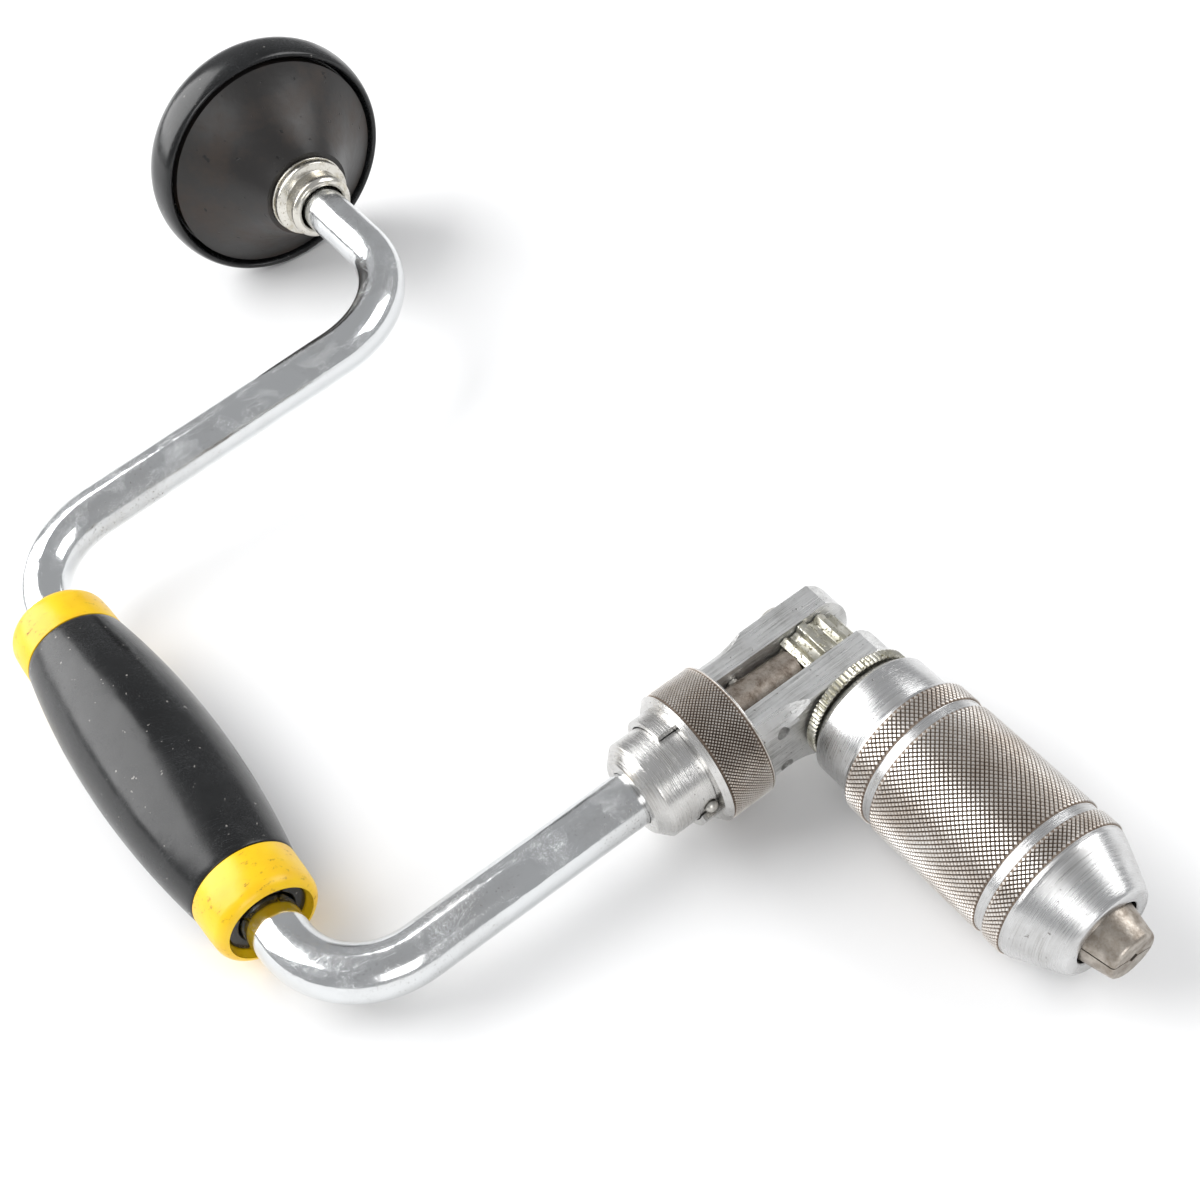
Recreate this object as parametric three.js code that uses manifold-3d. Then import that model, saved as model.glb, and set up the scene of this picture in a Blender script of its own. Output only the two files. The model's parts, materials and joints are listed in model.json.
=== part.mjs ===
// A ratchet bit brace: a cranked steel bow with a free-turning head and hand grip,
// a two-pawl ratchet with a selector ring, and a two-jaw screw chuck.
// Millimetres. While it is being built, X runs along the main axis towards the bit, Y from the
// hand grip towards the main axis, Z square to the bow, and the origin is the ratchet wheel's
// centre. The finished group is then tilted to lie on the ground as the tool lies on a bench.
import * as THREE from 'three';
import { mergeVertices } from 'three/addons/utils/BufferGeometryUtils.js';
import Module from 'manifold-3d';

const wasm = await Module();
wasm.setup();

// Bow
const sweepRadius = 127;
const barDiameter = 12.7;
const upperArmStation = -161.9;
const upperArmLean = 6;
const neckBend = 30;
const upperHandleBend = 25.5;
const lowerHandleBend = 21;
const journalRadius = 4.4;
const journalLength = 8.3;

// Head
const headStation = -246.5;
const headRadius = 35.6;
const domeHeight = 18.4;
const rimDepth = 6.3;
const headWall = 3.6;
const rimWidth = 4.2;
const undersideRadius = headRadius - rimWidth;
const undersideWall = 3;
const hubLength = 8;
const hubWall = 1.5;
const flangeStation = -219.1;
const flangeRadius = 11.35;
const flangeThickness = 1.9;
const lipRadius = 9.5;
const lipLength = 6.4;
const quillRadius = 9;
const quillLength = 14.5;
const collarWasherThickness = 1;
const collarWasherOverhang = 0.25;
const collarNutThickness = 3.2;
const collarNutRadius = 13.5;
const raceRadius = 11.5;
const raceThickness = 1.8;
const ballRadius = 1.5;
const ballCount = 10;
const headNutThickness = 5;
const headNutFlats = 13;

// Hand grip
const gripStation = -78.55;
const barrelLength = 81.1;
const barrelEndRadius = 12.5;
const barrelMiddleRadius = 16.1;
const gripRingLength = 11.7;
const gripCoreRadius = 9.2;
const gripCoreRecess = 2;
const fingerSlitWidth = 1;
const fingerSlitLength = 6;

// Ratchet
const earGap = 10;
const earThickness = 7.1;
const earHalfHeight = 10.8;
const earEndRadius = 13.2;
const neckRadius = 14.3;
const neckLength = 5.6;
const neckFlatDepth = 1.9;
const pawlPinRecess = 3.4;
const earFlareLength = 8.3;
const shankRadius = 11.8;
const shankEnd = -51.5;
const shankChamfer = 2.8;
const socketBottom = -34;
const wheelRadius = 10.6;
const toothDepth = 1.6;
const toothCount = 12;
const toothTipWidth = 2;
const toothRootWidth = 2.8;
const pawlPivotStation = -19.4;
const pawlPivotHeight = 6.2;
const pawlPinRadius = 1.5;
const pawlCrest = 10;
const pawlTilt = 4;
const noseEngagement = 0.5;
const noseWidth = 1.45;

// Selector ring
const selectorRadius = 16.17;
const selectorFront = -24.9;
const selectorLength = 13;
const selectorBevel = 1.3;
const selectorTravel = 90;
const skirtRadius = 13.5;
const skirtLength = 4.3;
const camEccentricity = 0.8;
const camRadius = 12.85;
const camDepth = 6.1;
const stopPinRadius = 1.35;
const stopPinHeadRadius = 1.6;
const stopPinAngle = 96;

// Chuck
const spindleRadius = 6;
const spindleTailRadius = 4.2;
const spindleKeyRadius = 5.4;
const screwHoleRadius = 2;
const screwHoleDepth = 7;
const spindleWasherThickness = 1.2;
const spindleWasherRadius = 7;
const collarRadius = 14.2;
const collarThickness = 2.5;
const collarGap = 0.65;
const shoulderRadius = 15.7;
const shoulderLength = 11.8;
const stemRadius = 13.9;
const stemLength = 22.3;
const jawSeatRadius = 11;
const jawSeatLength = 10;
const bitSocketSide = 9.4;
const bitSocketDepth = 13.7;
const bitSocketTaper = 1.6;
const shellRadius = 17.49;
const shellLength = 58.4;
const knurlBandLength = 6.2;
const grooveDepth = 0.6;
const grooveWidth = 2.1;
const noseLength = 11.6;
const noseRadius = 11.3;
const lipStep = 0.9;
const frontBandLength = 4.6;
const jawTipRadius = 5.6;
const jawMouthRadius = 7.6;
const jawTaper = 0.194;
const jawProtrusion = 7.5;
const jawThroatSide = 7.6;
const jawTipSlot = 1.8;
const jawTurn = 19;
const jawSlotDepth = 6.3;
const jawSlotWidth = 9;
const jawTongueWidth = 8.4;
const throatFront = 8;
const tipSlotStart = 2;
const jawSpringRadius = 1.2;
const jawSpringWire = 0.25;
const jawSpringLength = 4.8;
const coneWasherThickness = 1.1;

// Clearances
const runningGap = 0.3;
const pinGap = 0.15;
const faceGap = 0.3;
const seamGap = 0.15;

const fineSides = 28;
const smallSides = 16;
const radians = THREE.MathUtils.degToRad;
const barRadius = barDiameter / 2;
const neckFlat = neckRadius - neckFlatDepth;
const pawlBackRadius = earGap / 2 - faceGap;

// ---------- shared shape helpers

function toSolid(geometry) {
  const bare = geometry.clone();
  bare.deleteAttribute('normal');
  bare.deleteAttribute('uv');
  const merged = mergeVertices(bare, 1e-4);
  return new wasm.Manifold(new wasm.Mesh({
    numProp: 3,
    vertProperties: Float32Array.from(merged.attributes.position.array),
    triVerts: Uint32Array.from(merged.index.array),
  }));
}

function toGeometry(solid) {
  const mesh = solid.getMesh();
  const geometry = new THREE.BufferGeometry();
  geometry.setAttribute('position', new THREE.BufferAttribute(mesh.vertProperties, 3));
  geometry.setIndex(new THREE.BufferAttribute(mesh.triVerts, 1));
  geometry.computeVertexNormals();
  return geometry;
}

// Joins the first piece with the pieces in joins, then takes away those in cuts.
function carve(first, joins, cuts) {
  let solid = toSolid(first);
  for (const piece of joins) solid = solid.add(toSolid(piece));
  for (const piece of cuts) solid = solid.subtract(toSolid(piece));
  return toGeometry(solid);
}

function common(first, ...others) {
  let solid = toSolid(first);
  for (const piece of others) solid = solid.intersect(toSolid(piece));
  return toGeometry(solid);
}

// Turned shapes: the profile is [radius, height] pairs, and the axis is local Y.
// A plain turned piece starts and ends on the axis; a turned ring closes on itself.
function turned(profile, sides = fineSides) {
  return new THREE.LatheGeometry(profile.map(([r, y]) => new THREE.Vector2(r, y)), sides);
}

function turnedRing(profile, sides = fineSides) {
  return turned([...profile, profile[0]], sides);
}

function tube(inner, outer, start, end, sides = fineSides) {
  return turnedRing([[inner, start], [outer, start], [outer, end], [inner, end]], sides);
}

function rod(radius, start, end, sides = fineSides) {
  return turned([[0, start], [radius, start], [radius, end], [0, end]], sides);
}

// The points of an ellipse's arc, centre [0, height], as a turned profile.
function ellipseArc(radius, reach, height, from, to, steps) {
  const points = [];
  for (let step = 0; step <= steps; step += 1) {
    const angle = radians(from + (to - from) * step / steps);
    points.push([radius * Math.cos(angle), height + reach * Math.sin(angle)]);
  }
  return points;
}

// Axis changes. acrossBow takes a shape drawn in Y and Z and extruded along X, and aboutArm one
// drawn in Z and X and extruded along Y. acrossX lays a turned piece's axis along X.
function acrossBow(geometry) {
  const basis = new THREE.Matrix4().makeBasis(
    new THREE.Vector3(0, 1, 0), new THREE.Vector3(0, 0, 1), new THREE.Vector3(1, 0, 0));
  return geometry.applyMatrix4(basis);
}

function aboutArm(geometry) {
  const basis = new THREE.Matrix4().makeBasis(
    new THREE.Vector3(0, 0, 1), new THREE.Vector3(1, 0, 0), new THREE.Vector3(0, 1, 0));
  return geometry.applyMatrix4(basis);
}

function acrossX(geometry, y = 0, z = 0) {
  return geometry.rotateZ(-Math.PI / 2).translate(0, y, z);
}

function outline(points) {
  return new THREE.Shape(points.map(([x, y]) => new THREE.Vector2(x, y)));
}

function slab(shape, start, end, curveSegments = 12) {
  const settings = { depth: end - start, bevelEnabled: false, curveSegments };
  return new THREE.ExtrudeGeometry(shape, settings).translate(0, 0, start);
}

function block(x, y, z) {
  const size = [x[1] - x[0], y[1] - y[0], z[1] - z[0]];
  const middle = [(x[0] + x[1]) / 2, (y[0] + y[1]) / 2, (z[0] + z[1]) / 2];
  return new THREE.BoxGeometry(...size).translate(...middle);
}

// A coil spring about local Y, centred on the origin.
function coilSpring(radius, wire, length, turns) {
  class Coil extends THREE.Curve {
    getPoint(t, target = new THREE.Vector3()) {
      const angle = 2 * Math.PI * turns * t;
      const height = (t - 0.5) * (length - 2 * wire);
      return target.set(radius * Math.cos(angle), height, radius * Math.sin(angle));
    }
  }
  const section = new THREE.Shape().absarc(0, 0, wire, 0, 2 * Math.PI, false);
  const settings = { steps: 8 * turns, curveSegments: 2, bevelEnabled: false, extrudePath: new Coil() };
  return new THREE.ExtrudeGeometry(section, settings);
}

// ---------- materials

const finishes = {
  plated: { color: 0xc9cbcd, roughness: 0.18, metalness: 1 },
  nickel: { color: 0xc6bfae, roughness: 0.25, metalness: 1 },
  satin: { color: 0xa9a9a8, roughness: 0.38, metalness: 1 },
  knurled: { color: 0x8f8a84, roughness: 0.45, metalness: 1 },
  jawSteel: { color: 0x857c72, roughness: 0.5, metalness: 1 },
  hardened: { color: 0x9a9890, roughness: 0.3, metalness: 1 },
  yellowZinc: { color: 0xb7ae84, roughness: 0.4, metalness: 1 },
  bronze: { color: 0xa8824e, roughness: 0.4, metalness: 1 },
  black: { color: 0x1b1b1c, roughness: 0.3, metalness: 0 },
  charcoal: { color: 0x2b2827, roughness: 0.5, metalness: 0 },
  yellow: { color: 0xeab41b, roughness: 0.4, metalness: 0 },
};

function part(name, geometry, finish, position = [0, 0, 0], rotation = [0, 0, 0]) {
  const mesh = new THREE.Mesh(geometry, new THREE.MeshStandardMaterial(finishes[finish]));
  mesh.name = name;
  mesh.position.set(...position);
  mesh.rotation.set(...rotation);
  return mesh;
}

// ---------- bow

const quillEnd = flangeStation - flangeThickness - quillLength;
const lowerRace = quillEnd - faceGap;
const cageStation = lowerRace - raceThickness - faceGap - ballRadius;
const upperRace = cageStation - ballRadius - faceGap;
const barShoulder = upperRace + seamGap;
const barEnd = socketBottom - faceGap;

// The bar's centre line: straight runs with a fillet arc at each corner.
function barPath() {
  const corners = [
    [barShoulder, 0, 0],
    [upperArmStation, 0, neckBend],
    [upperArmStation + upperArmLean, -sweepRadius, upperHandleBend],
    [0, -sweepRadius, lowerHandleBend],
    [0, barEnd, 0],
  ].map(([x, y, bend]) => ({ point: new THREE.Vector3(x, y, 0), bend }));
  const path = new THREE.CurvePath();
  let start = corners[0].point;
  for (let i = 1; i < corners.length - 1; i += 1) {
    const { point, bend } = corners[i];
    const back = corners[i - 1].point.clone().sub(point).normalize();
    const ahead = corners[i + 1].point.clone().sub(point).normalize();
    const half = back.angleTo(ahead) / 2;
    const enter = point.clone().addScaledVector(back, bend / Math.tan(half));
    const leave = point.clone().addScaledVector(ahead, bend / Math.tan(half));
    const centre = back.clone().add(ahead).normalize().multiplyScalar(bend / Math.sin(half)).add(point);
    path.add(new THREE.LineCurve3(start, enter));
    path.add(new BendArc(centre, enter, leave));
    start = leave;
  }
  path.add(new THREE.LineCurve3(start, corners.at(-1).point));
  return path;
}

class BendArc extends THREE.Curve {
  constructor(centre, from, to) {
    super();
    this.centre = centre;
    this.first = from.clone().sub(centre);
    this.last = to.clone().sub(centre);
    this.angle = this.first.angleTo(this.last);
  }

  getPoint(t, target = new THREE.Vector3()) {
    const a = Math.sin((1 - t) * this.angle) / Math.sin(this.angle);
    const b = Math.sin(t * this.angle) / Math.sin(this.angle);
    return target.copy(this.centre).addScaledVector(this.first, a).addScaledVector(this.last, b);
  }
}

// The hole that the stop pin needs through the shank and the bar inside it.
const selectorRear = selectorFront - selectorLength;
const stopPinStation = selectorRear - stopPinHeadRadius - pinGap;

function stopPinHole() {
  return rod(stopPinRadius + pinGap, -shankRadius + 2, shankRadius + 2, smallSides)
    .rotateX(Math.PI / 2).rotateY(radians(stopPinAngle)).translate(0, stopPinStation, 0);
}

function sweepBar() {
  const section = new THREE.Shape().absarc(0, 0, barRadius, 0, 2 * Math.PI, false);
  const settings = { steps: 72, curveSegments: 6, bevelEnabled: false, extrudePath: barPath() };
  const bar = new THREE.ExtrudeGeometry(section, settings);
  const journal = acrossX(rod(journalRadius, barShoulder - journalLength, barShoulder + 2, smallSides));
  return carve(bar, [journal], [stopPinHole()]);
}

// ---------- head, turned about the main axis

function headDome() {
  const innerRadius = headRadius - headWall;
  const innerHeight = domeHeight - headWall;
  const seat = undersideRadius + runningGap;
  const rim = headStation + rimDepth;
  const rimRound = (headRadius - seat) / 2;
  return turned([
    ...ellipseArc(headRadius, domeHeight, headStation, -90, 0, 9).map(([r, y], i) => [i ? r : 0, y]),
    ...ellipseArc(rimRound, rimDepth, headStation, 30, 90, 3)
      .map(([r, y]) => [r + headRadius - rimRound, y]),
    [seat, rim - 0.4],
    [seat, headStation + rimDepth - undersideWall - 0.9],
    [innerRadius - 1.6, headStation + rimDepth - undersideWall - 0.9],
    ...ellipseArc(innerRadius - 1.6, innerHeight, headStation, 0, -90, 6)
      .map(([r, y], i) => [i < 6 ? r : 0, y]),
  ]);
}

const washerFace = flangeStation - flangeThickness - seamGap;
const undersideTop = washerFace - collarWasherThickness - seamGap;
const undersideEdge = headStation + rimDepth - 0.6;

function headUnderside() {
  const bore = quillRadius + runningGap;
  const hubRadius = flangeRadius + hubWall;
  const hubBack = undersideTop - hubLength;
  const cone = (drop, steps) => {
    const from = new THREE.Vector2(undersideRadius - drop, undersideEdge - drop);
    const to = new THREE.Vector2(hubRadius, undersideTop - drop * 1.4);
    const bend = new THREE.Vector2(undersideRadius * 0.62, undersideEdge + 6.5 - drop * 1.2);
    return new THREE.QuadraticBezierCurve(from, bend, to).getPoints(steps).map((p) => [p.x, p.y]);
  };
  return turnedRing([
    [undersideRadius, undersideEdge - undersideWall],
    ...cone(0, 6),
    [bore, undersideTop],
    [bore, hubBack],
    [hubRadius, hubBack],
    ...cone(undersideWall, 4).reverse(),
  ]);
}

function headCollar() {
  const bore = barRadius + runningGap;
  const lipFront = flangeStation + lipLength;
  const lipRound = (lipRadius - bore) / 2;
  return turnedRing([
    [bore, quillEnd],
    [quillRadius, quillEnd],
    [quillRadius, flangeStation - flangeThickness],
    [flangeRadius, flangeStation - flangeThickness],
    [flangeRadius, flangeStation],
    [lipRadius - 0.7, flangeStation + 0.5],
    [lipRadius - 0.5, lipFront - 2.6],
    ...ellipseArc(lipRound, 2.4, lipFront - 2.4, 0, 140, 4).map(([r, y]) => [r + bore + lipRound, y]),
  ]);
}

const collarNutFace = undersideTop - hubLength - faceGap;

function ballCage() {
  const pitch = (raceRadius + barRadius) / 2;
  const balls = [];
  for (let i = 0; i < ballCount; i += 1) {
    const angle = 2 * Math.PI * i / ballCount;
    const ball = new THREE.SphereGeometry(ballRadius, 8, 5);
    balls.push(ball.translate(pitch * Math.cos(angle), 0, pitch * Math.sin(angle)));
  }
  const plate = tube(pitch - ballRadius - 0.3, pitch + ballRadius + 0.3, -0.5, 0.5, smallSides);
  return carve(plate, balls, []);
}

function hexNut(bore, acrossFlats, thickness) {
  const corner = acrossFlats / Math.sqrt(3);
  const nut = new THREE.CylinderGeometry(corner, corner, thickness, 6);
  return carve(nut, [], [rod(bore, -thickness, thickness, smallSides)]);
}

// ---------- hand grip, turned about the handle's axis

function gripBarrel() {
  const half = barrelLength / 2;
  const rise = barrelMiddleRadius - barrelEndRadius;
  const curve = [];
  for (let step = -5; step <= 5; step += 1) {
    const share = step / 5;
    curve.push([barrelEndRadius + rise * (1 - share * share), share * (half - seamGap)]);
  }
  const bore = gripCoreRadius + seamGap;
  return turnedRing([[bore, -half + seamGap], ...curve, [bore, half - seamGap]]);
}

function gripRing() {
  const bore = gripCoreRadius + seamGap;
  const mouth = gripCoreRadius + 0.7;
  return turnedRing([
    [bore, 0],
    [barrelEndRadius, 0],
    [barrelEndRadius - 0.3, gripRingLength * 0.55],
    ...ellipseArc(2.4, 3.6, gripRingLength - 3.6, 20, 90, 3).map(([r, y]) => [r + barrelEndRadius - 2.9, y]),
    [mouth, gripRingLength - 0.5],
    [bore, gripRingLength - gripCoreRecess],
  ]);
}

// A sleeve whose two ends are slit into snap fingers.
function gripCore() {
  const half = barrelLength / 2 + gripRingLength - gripCoreRecess;
  const slits = [];
  for (const end of [-1, 1]) {
    for (const turn of [0, 1]) {
      const reach = end * (half - fingerSlitLength / 2);
      const slit = new THREE.BoxGeometry(4 * gripCoreRadius, fingerSlitLength + 1, fingerSlitWidth);
      slits.push(slit.rotateY(turn * Math.PI / 2 + Math.PI / 4).translate(0, reach + end * 0.5, 0));
    }
  }
  return carve(tube(barRadius + runningGap, gripCoreRadius, -half, half), [], slits);
}

// ---------- ratchet yoke, about the arm's axis (local Y)

const earFace = earGap / 2 + earThickness;
const yokeShoulder = selectorFront + faceGap;
const farBore = spindleTailRadius + pinGap;
const nearBore = spindleRadius + pinGap;

function ratchetYoke() {
  const neckEnd = yokeShoulder + neckLength;
  const fullEar = neckEnd + earFlareLength;
  const neckTop = -collarRadius - 2 * faceGap;
  const topReach = Math.sqrt(earEndRadius ** 2 - earHalfHeight ** 2);
  const earSide = outline([[yokeShoulder, -earHalfHeight], [topReach, -earHalfHeight]]);
  const endAngle = Math.asin(earHalfHeight / earEndRadius);
  earSide.absarc(0, 0, earEndRadius, -endAngle, endAngle, false);
  earSide.lineTo(yokeShoulder, earHalfHeight);
  const ears = acrossBow(slab(earSide, -earFace, earFace));
  const wide = 2 * earFace;
  const flare = turned([
    [0, yokeShoulder],
    [neckRadius, yokeShoulder],
    [neckRadius, neckEnd],
    [neckRadius + 0.6, neckEnd + 0.45 * earFlareLength],
    [Math.hypot(earFace, earHalfHeight), fullEar],
    [wide, fullEar + 1],
    [wide, wide],
    [0, wide],
  ]);
  const neckBand = acrossBow(slab(outline([
    [yokeShoulder, -earHalfHeight],
    [neckTop, -earHalfHeight],
    [neckTop, earHalfHeight],
    [yokeShoulder, earHalfHeight],
  ]), -wide, wide));
  const shank = turned([
    [0, shankEnd],
    [shankRadius - shankChamfer, shankEnd],
    [shankRadius, shankEnd + shankChamfer],
    [shankRadius, yokeShoulder + 2],
    [0, yokeShoulder + 2],
  ]);
  const betweenFlats = block([-neckFlat, neckFlat], [yokeShoulder, neckTop], [-wide, wide]);
  const neck = common(rod(neckRadius, yokeShoulder, neckTop), neckBand, betweenFlats);
  const slotStart = selectorFront - camDepth + 0.7;
  const slot = block([-earGap / 2, earGap / 2], [slotStart, wide], [-wide, wide]);
  const bores = [
    acrossX(rod(farBore, -wide, 0)),
    acrossX(rod(nearBore, 0, wide)),
    rod(barRadius + seamGap, shankEnd - 1, socketBottom),
    stopPinHole(),
  ];
  for (const side of [-1, 1]) {
    const hole = rod(pawlPinRadius + pinGap, -wide, wide, smallSides);
    bores.push(acrossX(hole, pawlPivotStation, side * pawlPivotHeight));
  }
  return carve(common(ears, flare), [neck, shank], [slot, ...bores]);
}

function stopPin() {
  const head = ellipseArc(stopPinHeadRadius, 1.4, shankRadius + pinGap + 0.1, 0, 90, 3);
  const tail = -shankRadius + 2 + pinGap;
  const points = [[0, tail], [stopPinRadius, tail], [stopPinRadius, shankRadius + pinGap + 0.1], ...head];
  return turned(points.map(([r, y], i) => [i === points.length - 1 ? 0 : r, y]), smallSides);
}

// The selector ring in its middle, locking position: the cam is an eccentric recess and the skirt
// leaves a gap that runs against the stop pin at each end of the ring's travel.
function selectorRing() {
  const bore = shankRadius + 0.25;
  const rim = selectorRadius - selectorBevel;
  const ring = turnedRing([
    [bore, selectorRear],
    [rim, selectorRear],
    [selectorRadius, selectorRear + selectorBevel],
    [selectorRadius, selectorFront - 0.4],
    [selectorRadius - 0.4, selectorFront],
    [bore, selectorFront],
  ]);
  const pinHalfAngle = THREE.MathUtils.radToDeg(stopPinHeadRadius / shankRadius) + 1;
  const gapHalf = selectorTravel / 2 + pinHalfAngle;
  const from = radians(stopPinAngle + gapHalf);
  const to = radians(stopPinAngle - gapHalf + 360);
  const arc = new THREE.Shape();
  arc.absarc(0, 0, skirtRadius, from, to, false);
  arc.absarc(0, 0, bore, to, from, true);
  const skirt = aboutArm(slab(arc, selectorRear - skirtLength, selectorRear + 1, 24));
  const cam = rod(camRadius, selectorFront - camDepth, selectorFront + 1).translate(camEccentricity, 0, 0);
  return carve(ring, [skirt], [cam]);
}

// A pawl about its own pivot: a half-round bar with a nose, a tail for the cam and a pin hole.
function pawl() {
  const centreHeight = pawlCrest - pawlBackRadius - pawlPivotHeight;
  const back = selectorFront - camDepth + 1.2 - pawlPivotStation;
  const noseAngle = radians(135);
  const outward = new THREE.Vector2(Math.cos(noseAngle), Math.sin(noseAngle));
  const sideways = new THREE.Vector2(-Math.sin(noseAngle), Math.cos(noseAngle));
  const nose = (offset) => {
    const reach = wheelRadius - noseEngagement;
    const point = outward.clone().multiplyScalar(reach).addScaledVector(sideways, offset);
    return [point.x - pawlPivotStation, point.y - pawlPivotHeight];
  };
  const front = nose(0.5 - noseWidth);
  const heel = nose(0.5);
  const toothClear = [heel[0] - 1.2, heel[1] + 0.55];
  const belly = pawlPivotHeight - 2.5;
  const profile = outline([
    [back, -pawlPivotHeight + 4],
    [-1.8, -pawlPivotHeight + 4],
    [-0.6, -belly],
    [toothClear[0] - 4.2, -belly],
    toothClear,
    [heel[0] - 0.4, toothClear[1]],
    heel,
    front,
    [front[0], pawlCrest],
    [back, pawlCrest],
  ]);
  const body = acrossBow(slab(profile, -pawlBackRadius, pawlBackRadius));
  const round = rod(pawlBackRadius, back - 1, wheelRadius + pawlCrest).translate(0, 0, centreHeight);
  const tailTip = Math.sqrt(camRadius ** 2 - camEccentricity ** 2) - 0.5 - pawlPivotHeight;
  const tail = block([-1.5, 1.5], [back + 1.4, back + 3.4], [-1, tailTip]);
  const hole = acrossX(rod(pawlPinRadius + pinGap, -earFace, earFace, smallSides));
  return carve(common(body, round), [tail], [hole]);
}

function ratchetWheel() {
  const points = [];
  for (let tooth = 0; tooth < toothCount; tooth += 1) {
    const middle = 2 * Math.PI * tooth / toothCount;
    const rootRadius = wheelRadius - toothDepth;
    const root = toothRootWidth / 2 / rootRadius;
    const tip = toothTipWidth / 2 / wheelRadius;
    const corners = [[rootRadius, -root], [wheelRadius, -tip], [wheelRadius, tip], [rootRadius, root]];
    for (const [radius, offset] of corners) {
      points.push([radius * Math.cos(middle + offset), radius * Math.sin(middle + offset)]);
    }
  }
  const half = earGap / 2 - faceGap;
  const blank = acrossBow(slab(outline(points), -half, half));
  const bore = doubleFlat(spindleKeyRadius + pinGap, spindleTailRadius + pinGap, earGap);
  return carve(blank, [], [bore]);
}

// A round bar along X with two flats, which keys the wheel to the spindle.
function doubleFlat(radius, flat, halfLength) {
  const round = acrossX(rod(radius, -halfLength, halfLength, smallSides));
  return common(round, block([-halfLength, halfLength], [-radius, radius], [-flat, flat]));
}

// ---------- chuck, about the main axis

const collarFront = earFace + collarGap + collarThickness;
const chuckRear = collarFront + collarGap;
const shoulderFront = chuckRear + shoulderLength;
const stemFront = shoulderFront + stemLength;
const bodyFront = stemFront + jawSeatLength;
const spindleTail = -earFace - 0.4;

function chuckBody() {
  const turnedBody = acrossX(turned([
    [0, spindleTail + screwHoleDepth],
    [screwHoleRadius, spindleTail + screwHoleDepth],
    [screwHoleRadius, spindleTail],
    [spindleTailRadius, spindleTail],
    [spindleTailRadius, 0],
    [spindleRadius, 0],
    [spindleRadius, chuckRear],
    [shoulderRadius - 2.2, chuckRear],
    [shoulderRadius, chuckRear + 2.1],
    [shoulderRadius, shoulderFront],
    [stemRadius, shoulderFront],
    [stemRadius, stemFront],
    [jawSeatRadius, stemFront],
    [jawSeatRadius, bodyFront],
    [0, bodyFront],
  ]));
  const wheelHalf = earGap / 2 + seamGap;
  const wheelZone = acrossX(tube(spindleTailRadius, spindleRadius + 2, -wheelHalf, wheelHalf));
  const wheelKey = doubleFlat(spindleKeyRadius, spindleTailRadius, earGap / 2 - seamGap);
  const socket = new THREE.CylinderGeometry(
    bitSocketSide / Math.SQRT2, (bitSocketSide - bitSocketTaper) / Math.SQRT2, bitSocketDepth + 1, 4);
  socket.rotateZ(-Math.PI / 2).rotateX(radians(-jawTurn));
  socket.translate(bodyFront - jawSlotDepth - (bitSocketDepth - 1) / 2, 0, 0);
  const slotHalf = jawSeatRadius + 1;
  const jawSlot = block(
    [bodyFront - jawSlotDepth, bodyFront + 1], [-jawSlotWidth / 2, jawSlotWidth / 2], [-slotHalf, slotHalf]);
  jawSlot.rotateX(radians(-jawTurn));
  const spindle = carve(turnedBody, [], [wheelZone]);
  return carve(spindle, [wheelKey], [socket, jawSlot]);
}

const jawMouth = shoulderFront + faceGap + shellLength - 0.8;
const jawRear = bodyFront - jawSlotDepth + faceGap;
const jawStep = bodyFront + 2;
const jawRadiusAt = (station) => jawMouthRadius + jawTaper * (jawMouth - station);

// One jaw, opening along +Z: half of a tapered cone with a groove for the bit's tang.
function jaw() {
  const tip = jawMouth + jawProtrusion;
  const cone = acrossX(turned([
    [0, jawStep],
    [jawRadiusAt(jawStep), jawStep],
    [jawMouthRadius, jawMouth],
    [jawTipRadius + 0.4, tip - 0.5],
    [jawTipRadius, tip],
    [0, tip],
  ]));
  const rearRound = acrossX(rod(jawSeatRadius - runningGap, jawRear, jawStep + 1));
  const tongue = [-jawTongueWidth / 2, jawTongueWidth / 2];
  const rear = common(rearRound, block([jawRear, jawStep + 1], tongue, [-shellRadius, shellRadius]));
  const throat = tapered(jawThroatSide, jawThroatSide, jawRear - 1, jawMouth - throatFront);
  const narrowing = tapered(jawThroatSide, jawTipSlot, jawMouth - throatFront, jawMouth - tipSlotStart);
  const tipSlot = tapered(jawTipSlot, jawTipSlot, jawMouth - tipSlotStart, tip + 1);
  const otherHalf = block([jawRear - 1, tip + 1], [-shellRadius, shellRadius], [-shellRadius, faceGap / 2]);
  const holeRadius = jawSpringRadius + jawSpringWire + 0.25;
  const springHoles = [-1, 1].map((side) => rod(holeRadius, -5, jawSpringLength / 2 + 0.2, smallSides)
    .rotateX(Math.PI / 2).translate(springStation, side * springOffset, 0));
  return carve(cone, [rear], [throat, narrowing, tipSlot, otherHalf, ...springHoles]);
}

const springStation = bodyFront + 6.3;
const springOffset = 8;

// A square bar along X, standing on one corner, whose side goes from one size to another.
function tapered(from, to, start, end) {
  const bar = new THREE.CylinderGeometry(to / Math.SQRT2, from / Math.SQRT2, end - start + 0.02, 4);
  return bar.rotateZ(-Math.PI / 2).translate((start + end) / 2, 0, 0);
}

const coneFront = jawMouth - 9.8;
const coneRear = bodyFront + 0.5;

function jawCone() {
  const inner = (station) => jawRadiusAt(station) + runningGap + 0.05;
  const outer = stemRadius;
  return turnedRing([
    [inner(coneRear), coneRear],
    [outer, coneRear],
    [outer, coneFront - coneWasherThickness - seamGap],
    [inner(coneFront - coneWasherThickness), coneFront - coneWasherThickness - seamGap],
  ]);
}

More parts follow.
